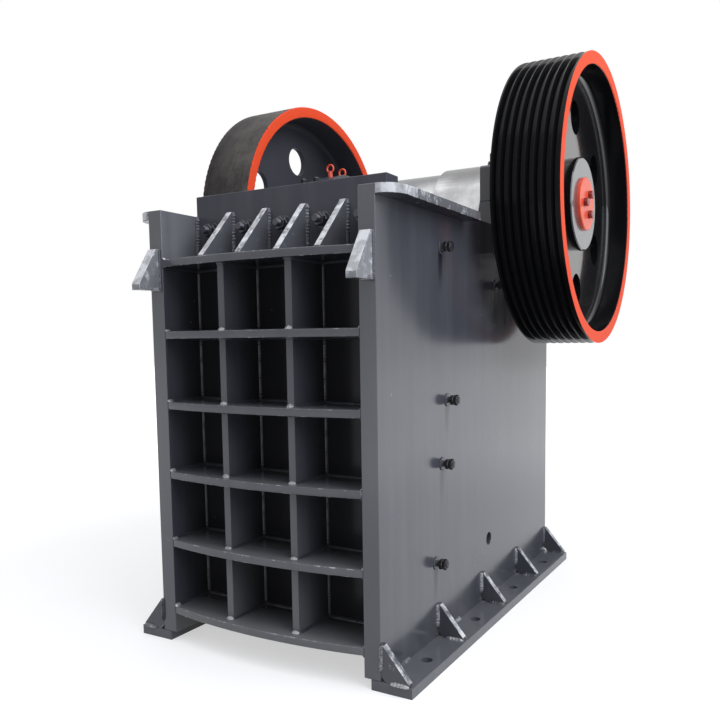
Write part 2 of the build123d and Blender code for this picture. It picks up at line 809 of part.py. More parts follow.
with BuildPart() as shim_plates:
    with BuildSketch(Plane.YZ):
        with Locations((shim_front + shim_thickness / 2, toggle_rear.Z)):
            Rectangle(shim_thickness, rear_block_height)
    extrude(amount=toggle_width / 2, both=True)
save(shim_plates, "shim_plates")

# Ear under the jaw's heel that pulls the tension rod
ear_front = on_jaw(0, heel_depth - ear_depth)
ear_back = on_jaw(0, heel_depth)
with BuildPart() as rod_ear:
    with BuildSketch(Plane.YZ):
        with BuildLine():
            Polyline(
                ear_front,
                ear_back,
                (ear_back[0], rod_height - ear_drop),
                (ear_front[0], rod_height - ear_drop),
                close=True,
            )
        make_face()
    extrude(amount=ear_width / 2, both=True)
save(rod_ear, "rod_ear")

# Tension rod with its washer and nut
rod_end = rear_y - rod_end_from_rear
nut_front = rod_end - rod_nut_length
washer_front = nut_front - washer_thickness
rod_plane = Plane(origin=(0, 0, rod_height), x_dir=(1, 0, 0), z_dir=(0, 1, 0))
with BuildPart() as tension_rod:
    with BuildSketch(rod_plane.offset(ear_back[0])):
        Circle(rod_radius)
    extrude(amount=rod_end - ear_back[0])
    with BuildSketch(rod_plane.offset(nut_front)):
        RegularPolygon(rod_nut_radius, 6)
    extrude(amount=rod_nut_length)
    with BuildSketch(rod_plane.offset(washer_front)):
        Circle(washer_radius)
    extrude(amount=washer_thickness)
save(tension_rod, "tension_rod")

# Bracket under the rear wall that the rod passes through
bracket_bottom = rod_height - bracket_drop
with BuildPart() as rod_bracket:
    with BuildSketch(Plane.XZ.offset(-rear_wall_front)):
        with Locations((0, (bracket_bottom + rear_wall_bottom) / 2)):
            Rectangle(bracket_width, rear_wall_bottom - bracket_bottom)
        with Locations((0, rod_height + eccentricity)):
            Circle(rod_radius + eccentricity + rod_side_clearance, mode=Mode.SUBTRACT)
    extrude(amount=-bracket_thickness)
save(rod_bracket, "rod_bracket")

# Coil spring round the rod, between the bracket and the washer
spring_front = rear_wall_front + bracket_thickness + eccentricity + spring_clearance
coil_pitch = (washer_front - spring_front) / spring_coils
spring_plane = Plane(origin=(0, 0, rod_height), x_dir=(0, 1, 0), z_dir=(-1, 0, 0))
with BuildPart() as tension_spring:
    with BuildSketch(spring_plane):
        with BuildLine():
            coils = []
            for index in range(spring_coils):
                coil_start = spring_front + index * coil_pitch
                coils.append((coil_start, spring_radius - spring_wire / 2))
                coils.append((coil_start + coil_pitch / 4, spring_radius))
                coils.append((coil_start + coil_pitch * 3 / 4, spring_radius))
            Polyline(
                *coils,
                (washer_front, spring_radius - spring_wire / 2),
                (washer_front, spring_radius - spring_wire),
                (spring_front, spring_radius - spring_wire),
                close=True,
            )
        make_face()
    revolve(axis=Axis((0, 0, rod_height), (0, 1, 0)))
save(tension_spring, "tension_spring")
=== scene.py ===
"""Looks of a single-toggle jaw crusher: paint, weld beads, fasteners, spring coils and studio."""

import json
import math
import random

import bmesh
import bpy
from bpy.props import FloatProperty, FloatVectorProperty, IntProperty, PointerProperty
from mathutils import Matrix, Vector

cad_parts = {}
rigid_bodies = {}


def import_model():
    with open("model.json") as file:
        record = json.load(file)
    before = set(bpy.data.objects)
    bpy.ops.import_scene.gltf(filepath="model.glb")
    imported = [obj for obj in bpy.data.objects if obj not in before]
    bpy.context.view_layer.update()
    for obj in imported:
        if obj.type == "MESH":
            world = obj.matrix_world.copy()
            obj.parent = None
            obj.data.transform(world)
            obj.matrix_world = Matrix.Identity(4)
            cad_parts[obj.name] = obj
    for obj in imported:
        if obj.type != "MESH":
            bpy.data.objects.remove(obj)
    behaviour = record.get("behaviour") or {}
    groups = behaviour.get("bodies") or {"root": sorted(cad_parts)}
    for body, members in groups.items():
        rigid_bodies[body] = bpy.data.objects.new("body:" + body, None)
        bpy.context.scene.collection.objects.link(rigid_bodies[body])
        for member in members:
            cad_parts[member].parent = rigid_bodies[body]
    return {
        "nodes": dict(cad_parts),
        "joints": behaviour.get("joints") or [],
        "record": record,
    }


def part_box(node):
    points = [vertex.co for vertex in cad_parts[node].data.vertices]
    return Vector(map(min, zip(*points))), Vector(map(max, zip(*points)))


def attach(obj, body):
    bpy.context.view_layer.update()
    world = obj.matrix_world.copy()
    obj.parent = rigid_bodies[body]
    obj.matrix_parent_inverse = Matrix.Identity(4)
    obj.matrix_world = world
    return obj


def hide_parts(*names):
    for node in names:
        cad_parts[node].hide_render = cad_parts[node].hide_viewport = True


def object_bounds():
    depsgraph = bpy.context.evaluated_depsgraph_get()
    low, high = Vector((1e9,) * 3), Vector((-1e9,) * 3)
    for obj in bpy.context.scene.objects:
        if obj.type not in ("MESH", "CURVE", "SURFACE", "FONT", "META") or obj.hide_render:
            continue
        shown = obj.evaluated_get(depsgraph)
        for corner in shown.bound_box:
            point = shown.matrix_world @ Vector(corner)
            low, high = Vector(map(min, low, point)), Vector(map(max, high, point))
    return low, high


bl_info = {
    "name": "Jaw Crusher Looks",
    "version": (1, 0, 0),
    "blender": (4, 5, 0),
    "location": "3D View > Sidebar > Crusher",
    "description": "Paints and dresses a jaw crusher: weld beads, fasteners, spring coils and a studio",
    "category": "Object",
}

for leftover in list(bpy.data.objects):
    bpy.data.objects.remove(leftover)
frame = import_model()
cad_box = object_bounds()

X, Y, Z = Vector((1, 0, 0)), Vector((0, 1, 0)), Vector((0, 0, 1))
SIDES = {"right": 1, "left": -1}
EVEN = (1, 1, 1)
WHITE = (1, 1, 1, 1)
BLACK = (0, 0, 0, 1)

# Largest gap between corners that are one corner
JOIN_GAP = 0.00001


def spans(node, axis):
    """Give the (start, end) of each like plate in a CAD node along the axis of its thickness."""
    places = sorted({round(vertex.co[axis], 4) for vertex in frame["nodes"][node].data.vertices})
    return list(zip(places[::2], places[1::2]))


# Places read from the frame
plate_low, plate_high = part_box("side_plate_right")
gusset_low, gusset_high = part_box("wall_gussets")
lug_low, lug_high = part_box("lifting_lug_right")
cap_low, cap_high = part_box("bearing_cap_right")
sheave_low, sheave_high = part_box("belt_sheave")
spring_low, spring_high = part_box("tension_spring")
rear_wall_low, rear_wall_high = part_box("rear_wall")
foot_gusset_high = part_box("foot_gussets_right")[1]
foot_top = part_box("foot_plate_right")[1].z
wall_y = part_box("front_wall")[0].y
inner_x, outer_x = plate_low.x, plate_high.x
front_y = plate_low.y
rib_spans = spans("cross_ribs", 2)
upright_spans = spans("upright_ribs", 0)
gusset_spans = spans("wall_gussets", 0)
foot_gusset_spans = spans("foot_gussets_right", 1)
rear_rib_spans = spans("rear_ribs", 2)
rear_upright_spans = spans("rear_uprights", 0)
shaft = next(Vector(joint["pos_m"]) for joint in frame["joints"] if joint["name"] == "rotor_spin")
wheel_radius = sheave_high.z - shaft.z
rim_middle = (sheave_low.x + sheave_high.x) / 2
rim_half = (sheave_high.x - sheave_low.x) / 2
HUB_FACES = (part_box("end_cap_right")[0].x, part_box("end_cap_left")[1].x)
HUB_RADIUS = 0.222
RIM_DEPTH = 0.058

# Setback from the front edge and height of each cheek plate bolt
CHEEK_BOLTS = ((0.53, 1.665), (0.588, 1.034), (0.536, 0.769), (0.471, 0.358), (1.141, 1.544))


def colour(size=4, **setting):
    """Give a setting that holds a colour."""
    return FloatVectorProperty(size=size, subtype="COLOR", min=0, max=1, **setting)


def length(**setting):
    """Give a setting that holds a length in metres."""
    return FloatProperty(subtype="DISTANCE", unit="LENGTH", **setting)


def portion(**setting):
    """Give a setting that holds a share from 0 to 1."""
    return FloatProperty(subtype="FACTOR", min=0, max=1, **setting)


def angle(**setting):
    """Give a setting that holds an angle."""
    return FloatProperty(subtype="ANGLE", unit="ROTATION", **setting)


def power(**setting):
    """Give a setting that holds a lamp's power."""
    return FloatProperty(subtype="POWER", unit="POWER", **setting)


def spot(**setting):
    """Give a setting that holds a place."""
    return FloatVectorProperty(size=3, subtype="TRANSLATION", unit="LENGTH", **setting)


class CrusherColours(bpy.types.PropertyGroup):
    """Colours of the paints and bare metals."""

    charcoal: colour(name="Charcoal", description="Frame paint", default=(0.062, 0.064, 0.078, 1))
    # Worn metal, also painted highlight on slopes and edges, and painted light on the side plates' inner
    # faces.
    worn_edge_and_painted_light: colour(
        name="Worn edge", description="Paint rubbed thin on edges and slopes", default=(0.66, 0.67, 0.69, 1),
    )
    # Dust, and painted light on the rib shelves and lower ribs; it also lightens the flange's upright faces
    # and darkens the jaw's top as painted shade.
    dust_and_painted_light: colour(name="Dust", description="Dust on faces that look up", default=(0.2, 0.2, 0.2, 1))
    # Oil, and painted shade in the pockets, under ledges and as the bolts' shadows.
    stain_and_painted_shade: colour(name="Stain", description="Oil and shade in the pockets", default=(0.01, 0.01, 0.012, 1))
    wheel_black: colour(
        name="Wheel black", description="Gloss paint of both wheels", default=(0.006, 0.006, 0.007, 1),
    )
    brown_wear: colour(
        name="Brown wear", description="Thin rust on the flywheel's rim", default=(0.135, 0.12, 0.112, 1),
    )
    hub_face: colour(
        name="Hub face", description="Turned faces of the hubs", default=(0.105, 0.112, 0.13, 1),
    )
    orange: colour(
        name="Orange", description="Rim faces, end caps and eyebolts", default=(0.82, 0.08, 0.026, 1),
    )
    thin_orange: colour(
        name="Thin orange", description="Orange paint where it is thin", default=(0.25, 0.03, 0.015, 1),
    )
    bolt_red: colour(
        name="Bolt red", description="End cap bolts, painted over", default=(0.2, 0.014, 0.01, 1),
    )
    silver: colour(name="Silver", description="Primer on the moving jaw", default=(0.72, 0.725, 0.735, 1))
    manganese: colour(name="Manganese", description="Bare wear plates", default=(0.2, 0.19, 0.18, 1))
    plate_rust: colour(name="Plate rust", description="Rust on wear plates", default=(0.11, 0.06, 0.035, 1))
    casting: colour(name="Casting", description="Rough castings", default=(0.13, 0.13, 0.135, 1))
    cast_rust: colour(name="Cast rust", description="Rust on rough castings", default=(0.1, 0.06, 0.04, 1))
    steel: colour(name="Steel", description="Turned and oiled steel", default=(0.5, 0.5, 0.51, 1))
    oil: colour(name="Oil", description="Film of oil on steel", default=(0.05, 0.045, 0.04, 1))
    black_oxide: colour(
        name="Black oxide", description="Nuts, washers and studs", default=(0.022, 0.022, 0.025, 1),
    )
    weld: colour(name="Weld", description="Brushed weld beads", default=(0.42, 0.42, 0.43, 1))


class CrusherWelds(bpy.types.PropertyGroup):
    """Sizes of the weld beads."""

    leg: length(name="Leg", description="Width of a bead on each plate", default=0.011)
    ripple: length(name="Ripple", description="Length of one ripple", default=0.012)
    ripple_depth: portion(
        name="Ripple depth", description="Swell of a ripple as a share of the leg", default=0.14,
    )
    uneven: portion(name="Uneven", description="Change of leg from bead to bead", default=0.18)
    seed: IntProperty(name="Seed", description="Start of the random sizes", default=7)


class CrusherBolts(bpy.types.PropertyGroup):
    """Sizes of the nuts, washers, studs and spring."""

    nut_radius: length(name="Nut", description="Nut from centre to corner", default=0.028)
    nut_height: length(name="Nut height", description="Height of a nut", default=0.019)
    stud_radius: length(name="Stud", description="Radius of a stud", default=0.016)
    stud_reach: length(name="Stud reach", description="How far a stud stands out", default=0.066)
    washer_radius: length(name="Washer", description="Radius of a washer", default=0.034)
    washer_height: length(name="Washer height", description="Thickness of a washer", default=0.006)
    coil_wire: length(name="Spring wire", description="Diameter of the spring's wire", default=0.02)
    coil_turns: IntProperty(name="Spring turns", description="Turns of the tension spring", default=8)


class CrusherStudio(bpy.types.PropertyGroup):
    """Camera, floor and lamps."""

    camera_place: spot(
        name="Camera", description="Where the camera stands", default=(1.8781, -3.2488, 1.2876),
    )
    yaw: angle(name="Yaw", description="Turn from +Y towards -X", default=math.radians(28.784))
    pitch: angle(name="Pitch", description="Tilt up from the horizon", default=math.radians(-5.2295))
    roll: angle(name="Roll", description="Turn about the line of sight", default=math.radians(-0.5713))
    lens: FloatProperty(name="Lens", description="Focal length in millimetres", default=37.33)
    sensor: FloatProperty(name="Sensor", description="Width of the sensor in millimetres", default=36.0)
    shift: FloatVectorProperty(
        name="Shift", description="Shift of the picture", size=2, default=(-0.0528, 0.0673),
    )
    floor: colour(name="Floor", description="Colour of the floor", default=(0.52, 0.52, 0.52, 1))
    floor_glow: portion(
        name="Floor glow", description="White added to the floor as the eye sees it", default=0.54,
    )
    horizon: colour(name="Horizon", description="Soft light from the sides", default=(0.24, 0.24, 0.25, 1))
    zenith: colour(name="Zenith", description="Soft light from above", default=(0.92, 0.94, 1.0, 1))
    top_lamp: power(name="Top lamp", description="Power of the lamp overhead", default=80)
    side_lamp: power(name="Side lamp", description="Power of the lamp on the sheave's side", default=230)
    side_lamp_place: spot(
        name="Side lamp place", description="Where the side lamp hangs", default=(5.0, -1.4, 4.2),
    )
    side_lamp_tint: colour(
        size=3, name="Side lamp tint", description="Daylight tint of the side lamp",
        default=(0.86, 0.91, 1.0),
    )


class Value:
    """A shader socket: arithmetic on it adds Math nodes to its finish."""

    def __init__(self, finish, socket):
        self.finish = finish
        self.socket = socket

    def maths(self, operation, *terms):
        """Add one Math node for an operation on numbers."""
        return self.finish.node("ShaderNodeMath", {"operation": operation}, dict(enumerate(terms)))

    def __add__(self, other):
        return self.maths("ADD", self, other)

    __radd__ = __add__

    def __sub__(self, other):
        return self.maths("SUBTRACT", self, other)

    def __rsub__(self, other):
        return self.maths("SUBTRACT", other, self)

    def __mul__(self, other):
        return self.maths("MULTIPLY", self, other)

    __rmul__ = __mul__

    def __pow__(self, other):
        return self.maths("POWER", self, other)

    def __abs__(self):
        return self.maths("ABSOLUTE", self)

    def __gt__(self, other):
        return self.maths("GREATER_THAN", self, other)

    def __lt__(self, other):
        return self.maths("LESS_THAN", self, other)


class Shading:
    """The nodes of a material or of the sky, added one at a time."""

    mix_factor, mix_base, mix_top, mix_result = 0, 6, 7, 2
    eye_rays = ("Camera", "Glossy", "Transmission")

    def __init__(self, owner):
        owner.use_nodes = True
        self.tree = owner.node_tree
        self.tree.nodes.clear()

    def node(self, kind, settings=None, sockets=None, output=0):
        """Add a node: its settings come first, then the values or links of its sockets."""
        made = self.tree.nodes.new(kind)
        for key, value in (settings or {}).items():
            setattr(made, key, value)
        for key, value in (sockets or {}).items():
            if isinstance(value, Value):
                self.tree.links.new(value.socket, made.inputs[key])
            else:
                made.inputs[key].default_value = value
        return Value(self, made.outputs[output]) if made.outputs else None

    def greatest(self, first, *others):
        """Give the largest of some values."""
        for other in others:
            first = first.maths("MAXIMUM", first, other)
        return first

    def blend(self, factor, base, top):
        """Lay the top colour over the base by a factor."""
        sockets = {self.mix_factor: factor, self.mix_base: base, self.mix_top: top}
        return self.node("ShaderNodeMix", {"data_type": "RGBA"}, sockets, self.mix_result)

    def coats(self, base, layers):
        """Lay colours over a base in turn: each layer is its factor and its colour."""
        for factor, top in layers:
            base = self.blend(factor, base, top)
        return base

    def along(self, axis, of="Object"):
        """Give one coordinate of the place, or of another set of coordinates."""
        where = self.node("ShaderNodeTexCoord", output=of)
        return self.node("ShaderNodeSeparateXYZ", None, {0: where}, axis)

    def ramp(self, value, low, high):
        """Rise smoothly from 0 to 1 as the value goes from low to high."""
        sockets = {"Value": value, "From Min": low, "From Max": high}
        return self.node("ShaderNodeMapRange", {"interpolation_type": "SMOOTHSTEP"}, sockets)

    def seen(self):
        """Give 1 to the eye, to reflections and through glass, and 0 to light that falls on things."""
        rays = [self.node("ShaderNodeLightPath", output=f"Is {ray} Ray") for ray in self.eye_rays]
        return self.greatest(*rays)


class Finish(Shading):
    """One material."""

    def __init__(self, name):
        self.material = bpy.data.materials.new(name)
        super().__init__(self.material)

    def place(self, stretch=EVEN):
        """Give the place on the object in metres, stretched along the axes for streaks."""
        where = self.node("ShaderNodeTexCoord", output="Object")
        if stretch == EVEN:
            return where
        return self.node("ShaderNodeVectorMath", {"operation": "MULTIPLY"}, {0: where, 1: stretch})

    def noise(self, scale, detail=4.0, roughness=0.55, stretch=EVEN):
        """Give soft random patches, 0 to 1."""
        sockets = {"Vector": self.place(stretch), "Scale": scale, "Detail": detail, "Roughness": roughness}
        return self.node("ShaderNodeTexNoise", None, sockets)

    def slope(self):
        """Give how far the surface leans from all three axes: 0 on a square face, high on edges."""
        return 1 - self.greatest(*[abs(self.along(axis, "Normal")) for axis in range(3)])

    def shaft_distance(self):
        """Give the distance from the shaft's axis."""
        across = self.along(1) - shaft.y
        up = self.along(2) - shaft.z
        return (across * across + up * up) ** 0.5

    def bump(self, height, strength, distance):
        """Turn a height into a normal."""
        sockets = {"Height": height, "Strength": strength, "Distance": distance}
        return self.node("ShaderNodeBump", None, sockets)

    def surface(self, sockets):
        """Close the material with a Principled surface and return it."""
        shader = self.node("ShaderNodeBsdfPrincipled", None, sockets)
        self.node("ShaderNodeOutputMaterial", None, {"Surface": shader})
        return self.material


def oil_runs_and_bolt_shadows(paint):
    """Give the narrow dark streaks below the cheek plates' bolts: oil runs, and painted shadows of the
    bolts.
    """
    half_width = (0.026, 0.009)
    head = (0.0, 0.01)
    tail = (0.21, 0.04)
    wander = paint.noise(scale=22, detail=2) * 0.012
    dark_streaks = 0
    for setback, height in CHEEK_BOLTS:
        beside = abs(paint.along(1) + wander - (front_y + setback))
        below = height - paint.along(2)
        run = paint.ramp(beside, *half_width) * paint.ramp(below, *head) * paint.ramp(below, *tail)
        dark_streaks = dark_streaks + run
    return dark_streaks


def painted_light_and_dirt(paint, colours, kind, top, uneven):
    """Give the coats of painted light, painted shade and dirt on the feed wall, on its ribs or on a side
    plate.
    """
    step, skin = 0.004, 0.001
    shelf_back, shelf_front = front_y + 0.05, front_y - 0.03
    dusty_from, dusty_to = 0.9, 0.1
    below = paint.ramp(paint.along(2), gusset_low.z, gusset_low.z - step)
    if kind == "wall":
        # Painted shade: the feed wall is darkened below the gussets, inside the rib pockets.
        return [(below * 0.8, colours.stain_and_painted_shade)]
    # Painted shade: darker deeper into the pockets, from the ribs' front edges back to the wall, below the
    # gussets.
    deep_shade = paint.ramp(paint.along(1), front_y + 0.03, wall_y) * below
    if kind == "rib":
        lit_shelf = top * paint.ramp(paint.along(1), shelf_back, shelf_front)
        low = paint.ramp(paint.along(2), dusty_from, dusty_to)
        # Painted light on the front of each rib's top and on the lower ribs towards the floor; painted shade
        # deeper in the pockets.
        return [(lit_shelf * 0.4 + low * 0.35, colours.dust_and_painted_light), (deep_shade * 0.65, colours.stain_and_painted_shade)]
    inside = paint.ramp(abs(paint.along(0)), inner_x + 2 * skin, inner_x + skin)
    return [
        # Painted light on the side plates' inner faces above the gussets' foot, and painted shade deep in
        # the pockets.
        (inside * (1 - below) * uneven * 0.13, colours.worn_edge_and_painted_light),
        (inside * deep_shade * 0.6, colours.stain_and_painted_shade),
        # Dark streaks below the bolts: oil runs, and painted shadows of the bolts.
        (oil_runs_and_bolt_shadows(paint) * 0.8, colours.stain_and_painted_shade),
    ]


def frame_finish(colours, name, slope=0.0, edge=0.0, face=0.0, bare=0.0, gloss=1.45, kind=""):
    """Gloss charcoal paint, streaked down its faces, with the wear of its slopes, edges and faces, partly
    painted highlight, and painted shade on faces that look down.
    """
    paint = Finish(name)
    cloud = paint.noise(scale=2.2)
    patches = paint.noise(scale=28, roughness=0.6)
    grit = paint.noise(scale=110, roughness=0.7)
    streak = paint.noise(scale=14, detail=3, roughness=0.5, stretch=(1, 1, 0.05))
    upward = paint.along(2, "Normal")
    top = paint.ramp(upward, 0.7, 0.95)
    underside = paint.ramp(upward, -0.6, -0.95)
    upright = paint.ramp(abs(upward), 0.6, 0.4)
    coats = [
        (paint.ramp(cloud + streak, 0.8, 1.3) * 0.12, colours.dust_and_painted_light),
        (top * cloud * 0.16, colours.dust_and_painted_light),
        # Painted shade on faces that look down.
        (underside * 0.8, colours.stain_and_painted_shade),
    ]
    if kind == "flange":
        # The flange's upright faces are lightened, and their wear fades away from the front.
        coats.append((upright * 0.42, colours.dust_and_painted_light))
        front = paint.ramp(paint.along(1), front_y + 0.3, front_y + 0.04)
        upright = upright * (0.4 + front * 0.6)
    elif kind:
        coats += painted_light_and_dirt(paint, colours, kind, top, cloud + streak)
    # Patches of worn metal on slopes, bevelled edges and faces: wear, and painted highlight where slopes and
    # edges catch the light.
    sloped = paint.ramp(paint.slope(), 0.05, 0.13)
    share = paint.greatest(sloped * slope, upright * edge, face)
    wear_and_painted_light = paint.ramp(patches * 0.8 + grit * 0.2 + share * 0.6, 0.66, 0.92)
    dull = paint.ramp(paint.noise(scale=19, detail=3), 0.56, 0.4)
    metal = paint.blend(dull * 0.55, colours.worn_edge_and_painted_light, colours.dust_and_painted_light)
    coats.append((wear_and_painted_light, metal))
    height = paint.noise(scale=5, detail=2, roughness=0.4, stretch=(1, 1, 0.2))
    height = height + (patches + grit) * (wear_and_painted_light * 0.3 + 0.015)
    return paint.surface({
        "Base Color": paint.coats(paint.blend(bare, colours.charcoal, colours.worn_edge_and_painted_light), coats),
        "Roughness": 0.12 + streak * 0.08 + patches * 0.05 + wear_and_painted_light * 0.2,
        "IOR": gloss,
        "Normal": paint.bump(height, strength=0.25, distance=0.004),
    })


def wheel_finish(colours):
    """Gloss black with orange rim faces, turned hub faces and brown wear on the plain rim, with painted
    shade towards the rim's outer edge and towards the back of the flywheel's web.
    """
    paint = Finish("wheel_paint_finish")
    radius = paint.shaft_distance()
    inset = wheel_radius - radius
    across = paint.along(0)
    plain_side = across < 0
    flat = paint.ramp(abs(paint.along(0, "Normal")), 0.55, 0.75)
    ring = paint.ramp(abs(abs(across) - rim_middle), rim_half - 0.0045, rim_half - 0.0035)
    ring = ring * paint.ramp(inset, RIM_DEPTH + 0.004, RIM_DEPTH + 0.002) * flat
    hub_faces = (across > HUB_FACES[0] - 0.002) + (across < HUB_FACES[1] + 0.002)
    turned = hub_faces * paint.ramp(radius, HUB_RADIUS - 0.004, HUB_RADIUS - 0.006)
    grain = paint.noise(scale=60)
    cloud = paint.noise(scale=4, detail=5)
    plain_rim = paint.ramp(inset, 0.004, 0.001) * plain_side
    lines = paint.noise(scale=9, roughness=0.6, stretch=(9, 0.3, 0.3))
    mottle = paint.noise(scale=6, detail=7, roughness=0.7)
    mottle = paint.ramp(mottle * 0.8 + lines * 0.2, 0.3, 0.7)
    # Painted shade: the rust on the plain rim thins and darkens towards the rim's outer edge.
    painted_dark_edge = paint.ramp(across, rim_half - rim_middle, -rim_half - rim_middle)
    rust_and_painted_shade = plain_rim * (0.2 + mottle * 0.6) * (1.1 - painted_dark_edge * 0.7)
    within = paint.ramp(inset, RIM_DEPTH + 0.002, RIM_DEPTH + 0.008)
    satin = paint.ramp(inset, 0.03, 0.035) * plain_side
    shaded = flat * paint.ramp(paint.along(1), shaft.y - 0.3, shaft.y + 0.4)
    thin = paint.ramp(paint.noise(scale=45, detail=5), 0.62, 0.72)
    orange = paint.blend(thin * 0.35, colours.orange, colours.bolt_red)
    rough = 0.1 + cloud * 0.06 + grain * 0.04
    return paint.surface({
        "Base Color": paint.coats(colours.wheel_black, [
            (rust_and_painted_shade, colours.brown_wear),
            (satin * (0.75 + cloud * 0.5 - shaded * 0.7), colours.charcoal),
            (ring, orange),
            (turned, colours.hub_face),
        ]),
        "Metallic": turned * 0.5,
        "Roughness": rough + (plain_rim + ring + satin) * 0.35 + turned * 0.12,
        "IOR": 1.18,
        "Coat Weight": within * (across > 0),
        "Coat Roughness": 0.05,
        "Normal": paint.bump(paint.noise(scale=7, detail=3) + grain * 0.05, strength=0.12, distance=0.004),
    })


def orange_finish(colours, name, base):
    """Brushed gloss paint with thin places."""
    paint = Finish(name)
    cloud = paint.noise(scale=14, detail=5)
    return paint.surface({
        "Base Color": paint.blend(paint.ramp(cloud, 0.45, 0.75) * 0.3, base, colours.thin_orange),
        "Roughness": 0.3 + cloud * 0.15,
        "Coat Weight": 0.3,
        "Normal": paint.bump(paint.noise(scale=160, detail=2), strength=0.1, distance=0.001),
    })


def jaw_finish(colours):
    """Silver-grey primer on a machined casting, darkened on top with dust and painted shade."""
    paint = Finish("jaw_grey_finish")
    cloud = paint.noise(scale=6, detail=6, roughness=0.65)
    turned = paint.noise(scale=30, detail=3, roughness=0.5, stretch=(6, 0.3, 0.3))
    return paint.surface({
        "Base Color": paint.coats(colours.silver, [
            (paint.ramp(cloud, 0.38, 0.62) * 0.4, colours.casting),
            # Dust and painted shade: faces that look up go dull grey, while the sides and underside stay
            # bright silver.
            (paint.ramp(paint.along(2, "Normal") + cloud * 0.3, 0.55, 0.95) * 0.92, colours.dust_and_painted_light),
        ]),
        "Metallic": 0.5,
        "Roughness": 0.22 + turned * 0.16 + cloud * 0.1,
        "Normal": paint.bump(turned * 0.3 + cloud, strength=0.25, distance=0.006),
    })


def cast_finish(name, base, rust, roughness, metallic):
    """Bare rough metal with pits and some rust."""
    metal = Finish(name)
    pits = metal.noise(scale=70, detail=6, roughness=0.65)
    cloud = metal.noise(scale=5, detail=5)
    return metal.surface({
        "Base Color": metal.blend(metal.ramp(cloud, 0.45, 0.8) * 0.55, base, rust),
        "Metallic": metallic,
        "Roughness": roughness + pits * 0.2,
        "Normal": metal.bump(pits, strength=0.35, distance=0.004),
    })


def steel_finish(colours, name, base, roughness, metallic):
    """Turned or blackened steel, oily in patches."""
    metal = Finish(name)
    cloud = metal.noise(scale=24)
    return metal.surface({
        "Base Color": metal.blend(metal.ramp(cloud, 0.4, 0.75) * 0.4, base, colours.oil),
        "Metallic": metallic,
        "Roughness": roughness + cloud * 0.2,
        "Normal": metal.bump(metal.noise(scale=180, detail=2), strength=0.08, distance=0.001),
    })


def weld_finish(colours, name, bare):
    """Weld metal under paint, brushed bare over some share of its length."""
    metal = Finish(name)
    cloud = metal.noise(scale=4, detail=3)
    grain = metal.noise(scale=120)
    rubbed = metal.ramp(cloud + grain * 0.6 + bare, 1.0, 1.35)
    return metal.surface({
        "Base Color": metal.blend(rubbed, colours.charcoal, colours.weld),
        "Metallic": 0.35,
        "Roughness": 0.3 + cloud * 0.2,
        "Normal": metal.bump(metal.noise(scale=260, detail=2), strength=0.15, distance=0.001),
    })


def put(name, data):
    """Put a new object in the scene."""
    made = bpy.data.objects.new(name, data)
    bpy.context.scene.collection.objects.link(made)
    return made


class Piece:
    """Collects the points and faces of one piece before its mesh is made."""

    nut_sides = 6
    stud_sides = 20
    washer_sides = 28
    nut_turn = math.radians(17)
    nut_gap = 0.001
    sharp = math.radians(35)

    def __init__(self):
        self.points = []
        self.faces = []

    def rings(self, rings, loop=False):
        """Join rings of equal count into a skin, closed at its ends or looped back to its start."""
        start = len(self.points)
        count = len(rings[0])
        total = len(rings) * count
        for ring in rings:
            self.points.extend(ring)
        for row in range(len(rings) if loop else len(rings) - 1):
            for step in range(count):
                here = row * count + step
                beside = row * count + (step + 1) % count
                corners = (here, beside, (beside + count) % total, (here + count) % total)
                self.faces.append(tuple(start + corner for corner in corners))
        if not loop:
            last = start + total - count
            self.faces.append(tuple(range(start + count - 1, start - 1, -1)))
            self.faces.append(tuple(range(last, last + count)))

    def turned(self, profile, sides, place, loop=False):
        """Turn a profile of (radius, height) points round the place's own Z."""
        rings = []
        for radius, height in profile:
            ring = []
            for step in range(sides):
                turn = 2 * math.pi * step / sides
                ring.append(place @ Vector((radius * math.cos(turn), radius * math.sin(turn), height)))
            rings.append(ring)
        self.rings(rings, loop)

    def nut(self, place, radius, height, base):
        """Add a hexagon nut with rounded corners on a base height."""
        chamfer = height * 0.16
        underside, top = radius * 0.93, radius * 0.9
        profile = [
            (underside, base),
            (radius, base + chamfer),
            (radius, base + height - chamfer),
            (top, base + height),
        ]
        self.turned(profile, self.nut_sides, place)

    def stud(self, place, radius, base, top):
        """Add a threaded stud with a rounded end."""
        pitch = radius * 0.28
        tip = radius * 0.3
        core, end = radius * 0.9, radius * 0.8
        profile = [(radius, base)]
        for thread in range(max(1, int((top - base - tip) / pitch))):
            height = base + thread * pitch
            profile += [(core, height + pitch / 2), (radius, height + pitch)]
        profile.append((end, top))
        self.turned(profile, self.stud_sides, place)

    def washer(self, place, bolts):
        """Add a washer with rounded edges."""
        radius, height = bolts.washer_radius, bolts.washer_height
        edge = height * 0.2
        profile = [(radius - edge, 0), (radius, edge), (radius, height - edge), (radius - edge, height)]
        self.turned(profile, self.washer_sides, place)

    def fastener(self, place, bolts, nuts=1, neck=0.0):
        """Add the stud that stands out of a washer, and its nuts, a neck's length above the washer."""
        washer = bolts.washer_height
        for index in range(nuts):
            turn = Matrix.Rotation(self.nut_turn * index, 4, "Z")
            base = washer + neck + index * (bolts.nut_height + self.nut_gap)
            self.nut(place @ turn, bolts.nut_radius, bolts.nut_height, base)
        self.stud(place, bolts.stud_radius, washer, bolts.stud_reach)

    def mesh(self, name):
        """Make the mesh."""
        mesh = bpy.data.meshes.new(name)
        mesh.from_pydata([tuple(point) for point in self.points], [], self.faces)
        return mesh

    def make(self, name, body, slot, material):
        """Make the object, give it its finish and hang it on its body."""
        mesh = self.mesh(name)
        mesh.materials.append(material)
        mesh.polygons.foreach_set("use_smooth", [True] * len(mesh.polygons))
        mesh.set_sharp_from_angle(angle=self.sharp)
        mesh.validate()
        made = put(name, mesh)
        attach(made, body)
        return made


